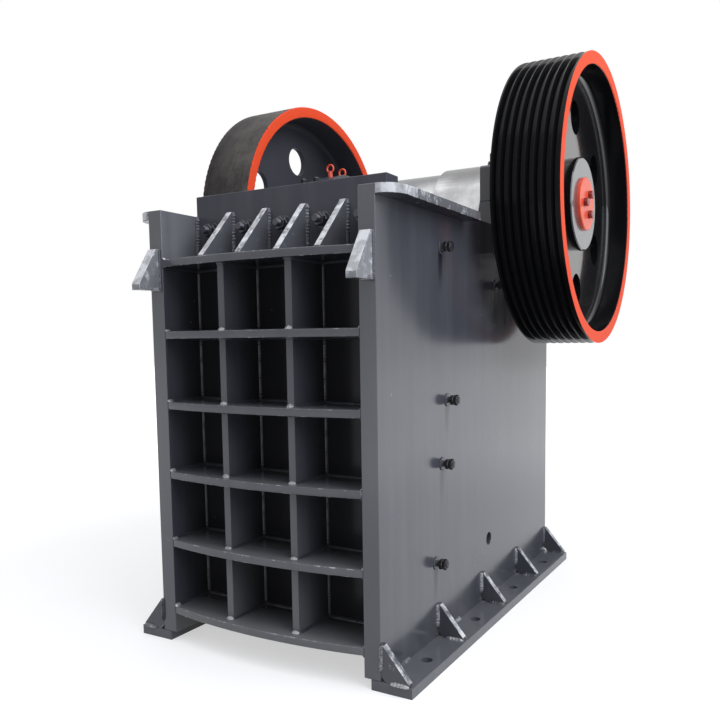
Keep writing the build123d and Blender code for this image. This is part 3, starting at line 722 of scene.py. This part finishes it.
class Beads(Piece):
    """The weld beads of one group, each with a leg of its own by chance."""

    facets = 5
    steps = 4
    root_depth = 0.15
    wave, wave_pace = 0.06, 5.3
    end_size, end_growth = 0.55, 0.45
    hollow, bulge = 0.8, 0.2

    def __init__(self, sizes, chance, thin=1.0):
        super().__init__()
        self.sizes = sizes
        self.chance = chance
        self.thin = thin

    def bead(self, x, y, z, first, second, thin=1.0):
        """Lay a rippled bead where plates along first and second meet: x, y or z is its (start, end)."""
        places = [place if isinstance(place, tuple) else (place, place) for place in (x, y, z)]
        start, end = [Vector(corner) for corner in zip(*places)]
        run = end - start
        leg = thin * self.thin * self.sizes.leg * (1 + self.sizes.uneven * self.chance.uniform(-1, 1))
        ripples = max(2, round(run.length / self.sizes.ripple))
        root = (first + second) * (-self.root_depth * leg)
        total = ripples * self.steps
        rings = []
        for index in range(total + 1):
            share = index / total
            swell = 1 + self.sizes.ripple_depth * (abs(math.sin(math.pi * share * ripples)) - 0.5)
            swell *= 1 + self.wave * math.sin(self.wave_pace * share * ripples)
            from_end = min(index, total - index) / self.steps
            size = leg * swell * min(1, self.end_size + self.end_growth * from_end)
            ring = [start + run * share + root]
            for facet in range(self.facets + 1):
                turn = math.pi / 2 * facet / self.facets
                reach = size * (self.hollow + self.bulge * abs(math.cos(2 * turn)))
                out = first * (reach * math.cos(turn)) + second * (reach * math.sin(turn))
                ring.append(start + run * share + out)
            rings.append(ring)
        if run.dot(first.cross(second)) < 0:
            rings = [ring[::-1] for ring in rings]
        self.rings(rings)

    def weld_on(self, name, colours, bare):
        """Make the beads, brushed bare over some share of their length, and hang them on the frame."""
        finish = weld_finish(colours, f"{name.removesuffix('s')}_finish", bare)
        self.make(name, "frame", "frame_paint", finish)


def faces(ends, axis):
    """Give both faces of a plate, lower first, each with the way that it looks."""
    return zip(ends, (-axis, axis))


def facing(place, way, axis="Z"):
    """Give the place of a thing whose own axis looks along a way."""
    turn = way.to_track_quat(axis, "Y").to_matrix().to_4x4()
    return Matrix.Translation(place) @ turn


def join_corners(node):
    """Join the doubled corners of a piece with a modifier."""
    weld = node.modifiers.new("join_corners", "WELD")
    weld.merge_threshold = JOIN_GAP


def round_edges(node, width):
    """Break the sharp edges of a piece with modifiers that leave its mesh as it is."""
    join_corners(node)
    flat = node.modifiers.new("join_flats", "DECIMATE")
    flat.decimate_type = "DISSOLVE"
    flat.angle_limit = math.radians(0.5)
    bevel = node.modifiers.new("round_edges", "BEVEL")
    bevel.width = width
    bevel.segments = 2
    bevel.limit_method = "ANGLE"
    bevel.angle_limit = Piece.sharp
    node.modifiers.new("even_shading", "WEIGHTED_NORMAL")


class CRUSHER_OT_paint(bpy.types.Operator):
    """Paint every CAD piece and round its edges"""

    bl_idname = "crusher.paint"
    bl_label = "Paint the pieces"

    edge_widths = {
        "frame_paint": 0.003,
        "wheel_paint": 0.002,
        "jaw_grey": 0.006,
        "wear_steel": 0.004,
        "cross_ribs": 0.0055,
    }

    def execute(self, context):
        finishes = self.slots(context.scene.crusher_colours) | self.wear_and_painted_light(context.scene.crusher_colours)
        for subpart in frame["record"]["subparts"]:
            slot = subpart["material_slot"]
            node = frame["nodes"][subpart["node"]]
            kind = subpart["node"].removesuffix("_right").removesuffix("_left")
            node.data.materials.clear()
            node.data.materials.append(finishes.get(kind, finishes[slot]))
            width = self.edge_widths.get(kind, self.edge_widths.get(slot))
            if width:
                round_edges(node, width)
        return {"FINISHED"}

    def slots(self, colours):
        """Give the finish of each material slot."""
        return {
            "frame_paint": frame_finish(colours, "frame_paint_finish"),
            "wheel_paint": wheel_finish(colours),
            "signal_orange": orange_finish(colours, "signal_orange_finish", colours.orange),
            "jaw_grey": jaw_finish(colours),
            "wear_steel": cast_finish(
                "wear_steel_finish", colours.manganese, colours.plate_rust, roughness=0.42, metallic=0.6,
            ),
            "cast_parts": cast_finish(
                "cast_parts_finish", colours.casting, colours.cast_rust, roughness=0.55, metallic=0.3,
            ),
            "machined_steel": steel_finish(
                colours, "machined_steel_finish", colours.steel, roughness=0.22, metallic=0.9,
            ),
        }

    def wear_and_painted_light(self, colours):
        """Give the finish of each kind of frame piece whose paint is worn, dirty and given painted light and
        shade in its own way.
        """
        looks = {
            "wall_gussets": {"name": "rubbed_and_highlight_paint_finish", "slope": 0.6, "face": 0.1, "bare": 0.07},
            "front_wall": {"name": "wall_paint_finish", "gloss": 1.25, "kind": "wall"},
            "cross_ribs": {"name": "rib_paint_finish", "slope": 0.28, "bare": 0.015, "kind": "rib"},
            "upright_ribs": {"name": "upright_paint_finish", "kind": "rib"},
            "side_plate": {"name": "plate_paint_finish", "gloss": 1.62, "kind": "plate"},
            "foot_plate": {"name": "foot_paint_finish", "bare": 0.045},
            "lifting_lug": {"name": "lug_finish", "slope": 0.9, "face": 0.32, "bare": 0.22},
            "foot_gussets": {"name": "foot_gusset_finish", "slope": 0.48, "face": 0.08},
            "top_flange": {
                "name": "flange_finish", "slope": 0.4, "edge": 0.66, "face": 0.1, "gloss": 1.2,
                "kind": "flange",
            },
        }
        return {kind: frame_finish(colours, **look) for kind, look in looks.items()}


class CRUSHER_OT_wheels(bpy.types.Operator):
    """Recut both wheels: a thin web in the flywheel, and a hub on the sheave that meets its web squarely"""

    bl_idname = "crusher.wheels"
    bl_label = "Recut the wheels"

    web = 0.03
    dish_round = 0.024
    dish_steps = 6
    beside_hub = 0.006
    beside_rim = 0.005
    skin = 0.0015
    sink = 0.0005
    hub_fillet = 0.034
    past = 0.05
    edge_width = 0.002
    sides = 160

    def execute(self, context):
        finish = bpy.data.materials.get("wheel_paint_finish") or wheel_finish(context.scene.crusher_colours)
        inner = self.web_faces("flywheel")[1] - self.web
        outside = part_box("flywheel")[0].x - self.past
        hub, rim = HUB_RADIUS + self.beside_hub, wheel_radius - RIM_DEPTH - self.beside_rim
        dish = [(hub, outside), (rim, outside)]
        turns = [math.pi / 2 * step / self.dish_steps for step in range(self.dish_steps + 1)]
        for centre, way in ((rim - self.dish_round, 1), (hub + self.dish_round, -1)):
            for turn in turns[::way]:
                across = centre + way * self.dish_round * math.cos(turn)
                dish.append((across, inner + self.dish_round * (math.sin(turn) - 1)))
        self.recut("flywheel", dish, finish)
        face = self.web_faces("belt_sheave")[1] - self.sink
        outside = sheave_high.x + self.past
        hub, root = HUB_RADIUS + self.skin, HUB_RADIUS + self.skin + self.hub_fillet
        self.recut("belt_sheave", [(hub, face), (root, face), (root, outside), (hub, outside)], finish)
        return {"FINISHED"}

    def web_faces(self, node):
        """Give both faces of a wheel's web along X, read at its holes."""
        nearest = HUB_RADIUS + 2 * self.hub_fillet
        farthest = wheel_radius - RIM_DEPTH - 2 * self.hub_fillet
        places = []
        for vertex in frame["nodes"][node].data.vertices:
            if nearest < math.hypot(vertex.co.y - shaft.y, vertex.co.z - shaft.z) < farthest:
                places.append(vertex.co.x)
        return min(places), max(places)

    def recut(self, node, profile, finish):
        """Stand a copy of the wheel in for it, with a turned ring cut out of the copy."""
        ring = Piece()
        ring.turned(profile, self.sides, facing(Vector((0, shaft.y, shaft.z)), X), loop=True)
        tool = put("tool", ring.mesh("tool"))
        body = bmesh.new()
        body.from_mesh(tool.data)
        bmesh.ops.recalc_face_normals(body, faces=body.faces)
        body.to_mesh(tool.data)
        body.free()
        wheel = put(f"{node}_recut", frame["nodes"][node].data.copy())
        join_corners(wheel)
        cut = wheel.modifiers.new("cut", "BOOLEAN")
        cut.operation = "DIFFERENCE"
        cut.solver = "EXACT"
        cut.object = tool
        ready = wheel.evaluated_get(bpy.context.evaluated_depsgraph_get())
        mesh = bpy.data.meshes.new_from_object(ready)
        if len(mesh.polygons) == 0:
            raise RuntimeError(f"nothing is left of {node}")
        wheel.modifiers.clear()
        wheel.data = mesh
        bpy.data.objects.remove(tool)
        mesh.materials.clear()
        mesh.materials.append(finish)
        round_edges(wheel, self.edge_width)
        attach(wheel, "rotor")
        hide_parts(node)


class CRUSHER_OT_rib_welds(bpy.types.Operator):
    """Lay the weld beads between the feed wall, its ribs and the side plates"""

    bl_idname = "crusher.rib_welds"
    bl_label = "Weld the ribs"

    leg = 0.75
    tack_leg = 1.05
    tack_run = 0.03
    bare = 0.0
    # The tacks are brushed bright: bare weld metal, and painted glints where the uprights stand on the ribs.
    tack_bare_and_glint = 0.5

    def execute(self, context):
        colours, sizes = context.scene.crusher_colours, context.scene.crusher_welds
        chance = random.Random(sizes.seed)
        welds, tacks = Beads(sizes, chance, self.leg), Beads(sizes, chance, self.tack_leg)
        for lower, upper in zip(rib_spans, rib_spans[1:]):
            bay = (lower[1], upper[0])
            for ends in upright_spans:
                self.upright(welds, bay, ends)
                tacks.bead(ends, front_y, bay[0], -Y, Z)
            for side in SIDES.values():
                welds.bead(side * inner_x, wall_y, bay, -side * X, -Y)
        for ends in rib_spans:
            self.rib(welds, ends)
            for side in SIDES.values():
                tacks.bead(side * inner_x, (front_y, front_y + self.tack_run), ends[1], -side * X, Z)
        welds.weld_on("rib_welds", colours, self.bare)
        tacks.weld_on("rib_tacks", colours, self.tack_bare_and_glint)
        return {"FINISHED"}

    def upright(self, welds, bay, ends):
        """Weld one upright to the wall behind it and to the ribs above and below it."""
        welds.bead(ends, front_y, bay[1], -Y, -Z)
        for place, out in faces(ends, X):
            welds.bead(place, wall_y, bay, out, -Y)
            for height, way in faces(bay, -Z):
                welds.bead(place, (front_y, wall_y), height, out, way)

    def rib(self, welds, ends):
        """Weld one cross rib to the wall and to both side plates."""
        for height, way in faces(ends, Z):
            welds.bead((-inner_x, inner_x), wall_y, height, -Y, way)
            for side in SIDES.values():
                welds.bead(side * inner_x, (front_y, wall_y), height, -side * X, way)


class CRUSHER_OT_gusset_welds(bpy.types.Operator):
    """Lay the weld beads of the wall gussets and lugs"""

    bl_idname = "crusher.gusset_welds"
    bl_label = "Weld the gussets"

    lug_leg = 0.6
    bare = 0.2

    def execute(self, context):
        colours, sizes = context.scene.crusher_colours, context.scene.crusher_welds
        welds = Beads(sizes, random.Random(sizes.seed + 1))
        for ends in gusset_spans:
            for place, out in faces(ends, X):
                welds.bead(place, (wall_y, gusset_low.y), gusset_low.z, out, Z)
                welds.bead(place, wall_y, (gusset_low.z, gusset_high.z), out, -Y)
        for side in SIDES.values():
            self.side(welds, side)
        welds.weld_on("gusset_welds", colours, self.bare)
        return {"FINISHED"}

    def side(self, welds, side):
        """Weld the wall's edge and the lug of one side plate."""
        welds.bead(side * inner_x, wall_y, (gusset_low.z, plate_high.z), -side * X, -Y)
        for place, out in faces((lug_low.x, lug_high.x), side * X):
            welds.bead(side * place, front_y, (lug_low.z, lug_high.z), out, -Y, self.lug_leg)


class CRUSHER_OT_foot_welds(bpy.types.Operator):
    """Lay the weld beads of the feet and their gussets, and of the rear wall"""

    bl_idname = "crusher.foot_welds"
    bl_label = "Weld the feet"

    cut_corner = 0.042
    stitch = 0.45
    bare = 0.3

    def execute(self, context):
        colours, sizes = context.scene.crusher_colours, context.scene.crusher_welds
        welds = Beads(sizes, random.Random(sizes.seed + 2))
        for side in SIDES.values():
            for ends in foot_gusset_spans:
                self.gusset(welds, side, ends)
            for before, after in zip(foot_gusset_spans, foot_gusset_spans[1:]):
                stitched = before[1] + (after[0] - before[1]) * self.stitch
                welds.bead(side * outer_x, (before[1], stitched), foot_top, side * X, Z)
            for face, way in faces((rear_wall_low.y, rear_wall_high.y), Y):
                welds.bead(side * inner_x, face, (rear_wall_low.z, rear_wall_high.z), -side * X, way)
        for ends in rear_rib_spans:
            for height, way in faces(ends, Z):
                welds.bead((-inner_x, inner_x), rear_wall_high.y, height, Y, way)
        for lower, upper in zip(rear_rib_spans, rear_rib_spans[1:]):
            for ends in rear_upright_spans:
                for place, out in faces(ends, X):
                    welds.bead(place, rear_wall_high.y, (lower[1], upper[0]), out, Y)
        welds.weld_on("foot_welds", colours, self.bare)
        return {"FINISHED"}

    def gusset(self, welds, side, ends):
        """Weld one foot gusset to the foot and to the side plate."""
        foot = (side * (outer_x + self.cut_corner), side * foot_gusset_high.x)
        edge = (foot_top + self.cut_corner, foot_gusset_high.z)
        for place, way in faces(ends, Y):
            welds.bead(foot, place, foot_top, way, Z)
            welds.bead(side * outer_x, place, edge, way, side * X)


class CRUSHER_OT_wall_bolts(bpy.types.Operator):
    """Stand the fixed jaw's bolts between the gussets on the feed wall"""

    bl_idname = "crusher.wall_bolts"
    bl_label = "Bolt the feed wall"

    height_share = 0.65

    def execute(self, context):
        colours, bolts = context.scene.crusher_colours, context.scene.crusher_bolts
        middles = [(low + high) / 2 for low, high in gusset_spans]
        pitch = middles[1] - middles[0]
        height = gusset_low.z + self.height_share * (gusset_high.z - gusset_low.z)
        row = Piece()
        for across in [middles[0] - pitch / 2] + [middle + pitch / 2 for middle in middles]:
            place = facing(Vector((across, wall_y, height)), -Y)
            row.washer(place, bolts)
            row.fastener(place, bolts, nuts=2)
        finish = steel_finish(colours, "wall_bolt_finish", colours.charcoal, roughness=0.25, metallic=0.5)
        row.make("wall_bolts", "frame", "machined_steel", finish)
        return {"FINISHED"}


class CRUSHER_OT_cheek_bolts(bpy.types.Operator):
    """Stand the cheek plates' bolts on the outside of both side plates"""

    bl_idname = "crusher.cheek_bolts"
    bl_label = "Bolt the cheek plates"

    neck = 0.016
    share = 0.82

    def execute(self, context):
        colours, bolts = context.scene.crusher_colours, context.scene.crusher_bolts
        finish = steel_finish(colours, "cheek_bolt_finish", colours.black_oxide, roughness=0.3, metallic=0.5)
        painted = frame_finish(colours, "washer_paint_finish")
        for name, side in SIDES.items():
            bolted, washers = Piece(), Piece()
            for setback, height in CHEEK_BOLTS:
                place = facing(Vector((side * outer_x, front_y + setback, height)), side * X)
                place = place @ Matrix.Scale(self.share, 4)
                washers.washer(place, bolts)
                bolted.fastener(place, bolts, nuts=2, neck=self.neck)
            bolted.make(f"cheek_bolts_{name}", "frame", "machined_steel", finish)
            washers.make(f"cheek_washers_{name}", "frame", "frame_paint", painted)
        return {"FINISHED"}


class CRUSHER_OT_bearing_studs(bpy.types.Operator):
    """Stand the studs and nuts that hold the bearing caps down"""

    bl_idname = "crusher.bearing_studs"
    bl_label = "Bolt the bearing caps"

    shoulder_height = 0.17
    edge_setback = 0.069
    row_spacing = 0.084

    def execute(self, context):
        colours, bolts = context.scene.crusher_colours, context.scene.crusher_bolts
        finish = steel_finish(colours, "bearing_stud_finish", colours.charcoal, roughness=0.2, metallic=0.6)
        middle = (cap_low.x + cap_high.x) / 2
        height = shaft.z + self.shoulder_height
        for name, side in SIDES.items():
            studs = Piece()
            for along in (cap_low.y + self.edge_setback, cap_high.y - self.edge_setback):
                for across in (-self.row_spacing / 2, self.row_spacing / 2):
                    place = facing(Vector((side * middle + across, along, height)), Z)
                    studs.washer(place, bolts)
                    studs.fastener(place, bolts)
            studs.make(f"bearing_studs_{name}", "frame", "machined_steel", finish)
        return {"FINISHED"}


class CRUSHER_OT_cap_bolts(bpy.types.Operator):
    """Put three bolts in each wheel's end cap"""

    bl_idname = "crusher.cap_bolts"
    bl_label = "Bolt the end caps"

    circle = 0.055
    head_radius = 0.021
    head_height = 0.02
    start_angle = math.radians(60)
    count = 3

    def execute(self, context):
        colours = context.scene.crusher_colours
        finish = orange_finish(colours, "cap_bolt_finish", colours.bolt_red)
        for name, side in SIDES.items():
            low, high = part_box(f"end_cap_{name}")
            face = high.x if side > 0 else low.x
            heads = Piece()
            for index in range(self.count):
                turn = self.start_angle + 2 * math.pi * index / self.count
                place = shaft + Vector((0, self.circle * math.cos(turn), self.circle * math.sin(turn)))
                place.x = face
                heads.nut(facing(place, side * X), self.head_radius, self.head_height, 0)
            heads.make(f"cap_bolts_{name}", "rotor", "signal_orange", finish)
        return {"FINISHED"}


class CRUSHER_OT_clamp_bolts(bpy.types.Operator):
    """Put a row of bolts in the wedge bar that clamps the moving jaw plate"""

    bl_idname = "crusher.clamp_bolts"
    bl_label = "Bolt the jaw clamp"

    count = 5
    head_share = 0.85

    def execute(self, context):
        colours, bolts = context.scene.crusher_colours, context.scene.crusher_bolts
        corners = {(vertex.co.y, vertex.co.z) for vertex in frame["nodes"]["jaw_clamp"].data.vertices}
        front = Vector((0, *min(corners)))
        top = Vector((0, *max(corners, key=lambda corner: corner[1])))
        out = X.cross(top - front).normalized()
        low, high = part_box("jaw_clamp")
        pitch = (high.x - low.x) / self.count
        row = Piece()
        for index in range(self.count):
            place = facing((front + top) / 2 + X * (low.x + pitch * (index + 0.5)), out)
            row.washer(place, bolts)
            row.nut(place, bolts.nut_radius * self.head_share, bolts.nut_height, bolts.washer_height)
        finish = steel_finish(colours, "clamp_bolt_finish", colours.black_oxide, roughness=0.3, metallic=0.5)
        row.make("clamp_bolts", "jaw", "machined_steel", finish)
        return {"FINISHED"}


class CRUSHER_OT_spring(bpy.types.Operator):
    """Wind the tension spring from round wire"""

    bl_idname = "crusher.spring"
    bl_label = "Wind the spring"

    steps = 40
    sides = 12
    closed_turns = 0.75

    def execute(self, context):
        colours, bolts = context.scene.crusher_colours, context.scene.crusher_bolts
        wire = bolts.coil_wire / 2
        middle = (spring_low + spring_high) / 2
        coil = (spring_high.x - spring_low.x) / 2 - wire
        start, end = spring_low.y + wire, spring_high.y - wire
        open_turns = bolts.coil_turns - 2 * self.closed_turns
        rings = []
        for index in range(bolts.coil_turns * self.steps + 1):
            turns = index / self.steps
            share = min(1, max(0, (turns - self.closed_turns) / open_turns))
            out = Vector((math.cos(2 * math.pi * turns), 0, math.sin(2 * math.pi * turns)))
            heart = Vector((middle.x, start + (end - start) * share, middle.z)) + out * coil
            ring = []
            for step in range(self.sides):
                turn = 2 * math.pi * step / self.sides
                ring.append(heart + out * (wire * math.cos(turn)) + Y * (wire * math.sin(turn)))
            rings.append(ring)
        spring = Piece()
        spring.rings(rings)
        finish = steel_finish(colours, "spring_finish", colours.black_oxide, roughness=0.35, metallic=0.6)
        made = spring.make("spring_coils", "jaw", "machined_steel", finish)
        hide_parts("tension_spring")
        return {"FINISHED"}


class CRUSHER_OT_stage(bpy.types.Operator):
    """Set up the floor, the lamps, the sky and the camera"""

    bl_idname = "crusher.stage"
    bl_label = "Set up the studio"

    floor_size = 60.0
    near_floor = 2.0
    far_floor = 6.0
    speckle = 0.97
    sky_heights = (0.0, 0.9)
    lamp_gap = 2.6
    lamp_aside = 1.0
    lamp_ahead = 0.6
    lamp_size = 5.0

    def execute(self, context):
        studio = context.scene.crusher_studio
        context.scene.view_settings.view_transform = "Standard"
        self.floor(studio)
        self.sky(context.scene, studio)
        middle = (cad_box[0] + cad_box[1]) / 2
        above = Vector((self.lamp_aside, middle.y - self.lamp_ahead, cad_box[1].z + self.lamp_gap))
        aside = Vector(studio.side_lamp_place)
        self.lamp("top_lamp", above, middle, studio.top_lamp, EVEN)
        self.lamp("side_lamp", aside, middle, studio.side_lamp, studio.side_lamp_tint)
        self.camera(context.scene, studio)
        return {"FINISHED"}

    def floor(self, studio):
        """Lay a pale floor that keeps the shadow."""
        half = self.floor_size / 2
        corners = [(-half, -half, 0), (half, -half, 0), (half, half, 0), (-half, half, 0)]
        mesh = bpy.data.meshes.new("floor")
        mesh.from_pydata(corners, [], [(0, 1, 2, 3)])
        ground = Finish("floor_finish")
        shade = (*[self.speckle * part for part in studio.floor[:3]], 1)
        away = ground.node("ShaderNodeVectorMath", {"operation": "LENGTH"}, {0: ground.place()}, "Value")
        far = ground.ramp(away, self.near_floor, self.far_floor)
        glow = studio.floor_glow + far * (1 - studio.floor_glow)
        mesh.materials.append(ground.surface({
            "Base Color": ground.blend(ground.noise(scale=3), studio.floor, shade),
            "Roughness": 0.9,
            "Specular IOR Level": 0.0,
            "Emission Color": ground.blend(ground.seen() * glow, BLACK, WHITE),
            "Emission Strength": 1.0,
        }))
        made = put("floor", mesh)

    def sky(self, scene, studio):
        """White to the eye and in reflections, softer as light."""
        world = bpy.data.worlds.new("studio_sky")
        scene.world = world
        shading = Shading(world)
        height = shading.ramp(shading.along(2, "Generated"), *self.sky_heights)
        soft = shading.blend(height, studio.horizon, studio.zenith)
        seen = shading.blend(shading.seen(), soft, WHITE)
        light = shading.node("ShaderNodeBackground", None, {"Color": seen, "Strength": 1.0})
        shading.node("ShaderNodeOutputWorld", None, {"Surface": light})

    def lamp(self, name, place, target, power, tint):
        """Hang a large soft lamp that looks at the target."""
        light = bpy.data.lights.new(name, "AREA")
        light.energy = power
        light.color = tint
        light.size = self.lamp_size
        made = put(name, light)
        made.matrix_world = facing(place, target - place, "-Z")

    def camera(self, scene, studio):
        """Stand the camera where the photograph was taken from."""
        data = bpy.data.cameras.new("camera")
        data.lens = studio.lens
        data.sensor_width = studio.sensor
        data.shift_x, data.shift_y = studio.shift
        made = put("camera", data)
        level = math.cos(studio.pitch)
        aside, ahead = math.sin(studio.yaw), math.cos(studio.yaw)
        forward = Vector((-aside * level, ahead * level, math.sin(studio.pitch)))
        right = Vector((ahead, aside, 0))
        up = right.cross(forward)
        leaned_right = math.cos(studio.roll) * right + math.sin(studio.roll) * up
        leaned_up = math.cos(studio.roll) * up - math.sin(studio.roll) * right
        turn = Matrix((leaned_right, leaned_up, -forward)).transposed().to_4x4()
        made.matrix_world = Matrix.Translation(Vector(studio.camera_place)) @ turn
        scene.camera = made


class CRUSHER_PT_panel(bpy.types.Panel):
    """Lists the crusher's operators and settings"""

    bl_idname = "CRUSHER_PT_panel"
    bl_label = "Jaw crusher"
    bl_space_type = "VIEW_3D"
    bl_region_type = "UI"
    bl_category = "Crusher"

    def draw(self, context):
        for operator in OPERATORS:
            self.layout.operator(operator.bl_idname)
        for name in SETTINGS:
            group = getattr(context.scene, name)
            box = self.layout.box()
            for prop in group.bl_rna.properties:
                if not prop.is_readonly and prop.identifier != "name":
                    box.prop(group, prop.identifier)


SETTINGS = {
    "crusher_colours": CrusherColours,
    "crusher_welds": CrusherWelds,
    "crusher_bolts": CrusherBolts,
    "crusher_studio": CrusherStudio,
}
OPERATORS = (
    CRUSHER_OT_paint,
    CRUSHER_OT_wheels,
    CRUSHER_OT_rib_welds,
    CRUSHER_OT_gusset_welds,
    CRUSHER_OT_foot_welds,
    CRUSHER_OT_wall_bolts,
    CRUSHER_OT_cheek_bolts,
    CRUSHER_OT_bearing_studs,
    CRUSHER_OT_cap_bolts,
    CRUSHER_OT_clamp_bolts,
    CRUSHER_OT_spring,
    CRUSHER_OT_stage,
)


def register():
    for name, group in SETTINGS.items():
        bpy.utils.register_class(group)
        setattr(bpy.types.Scene, name, PointerProperty(type=group))
    for operator in OPERATORS:
        bpy.utils.register_class(operator)
    bpy.utils.register_class(CRUSHER_PT_panel)


def unregister():
    bpy.utils.unregister_class(CRUSHER_PT_panel)
    for operator in reversed(OPERATORS):
        bpy.utils.unregister_class(operator)
    for name, group in reversed(SETTINGS.items()):
        delattr(bpy.types.Scene, name)
        bpy.utils.unregister_class(group)


def main():
    """Dress the crusher."""
    register()
    bpy.ops.crusher.paint()
    bpy.ops.crusher.wheels()
    bpy.ops.crusher.rib_welds()
    bpy.ops.crusher.gusset_welds()
    bpy.ops.crusher.foot_welds()
    bpy.ops.crusher.wall_bolts()
    bpy.ops.crusher.cheek_bolts()
    bpy.ops.crusher.bearing_studs()
    bpy.ops.crusher.cap_bolts()
    bpy.ops.crusher.clamp_bolts()
    bpy.ops.crusher.spring()
    bpy.ops.crusher.stage()
    bpy.context.view_layer.update()


if __name__ == "__main__":
    main()
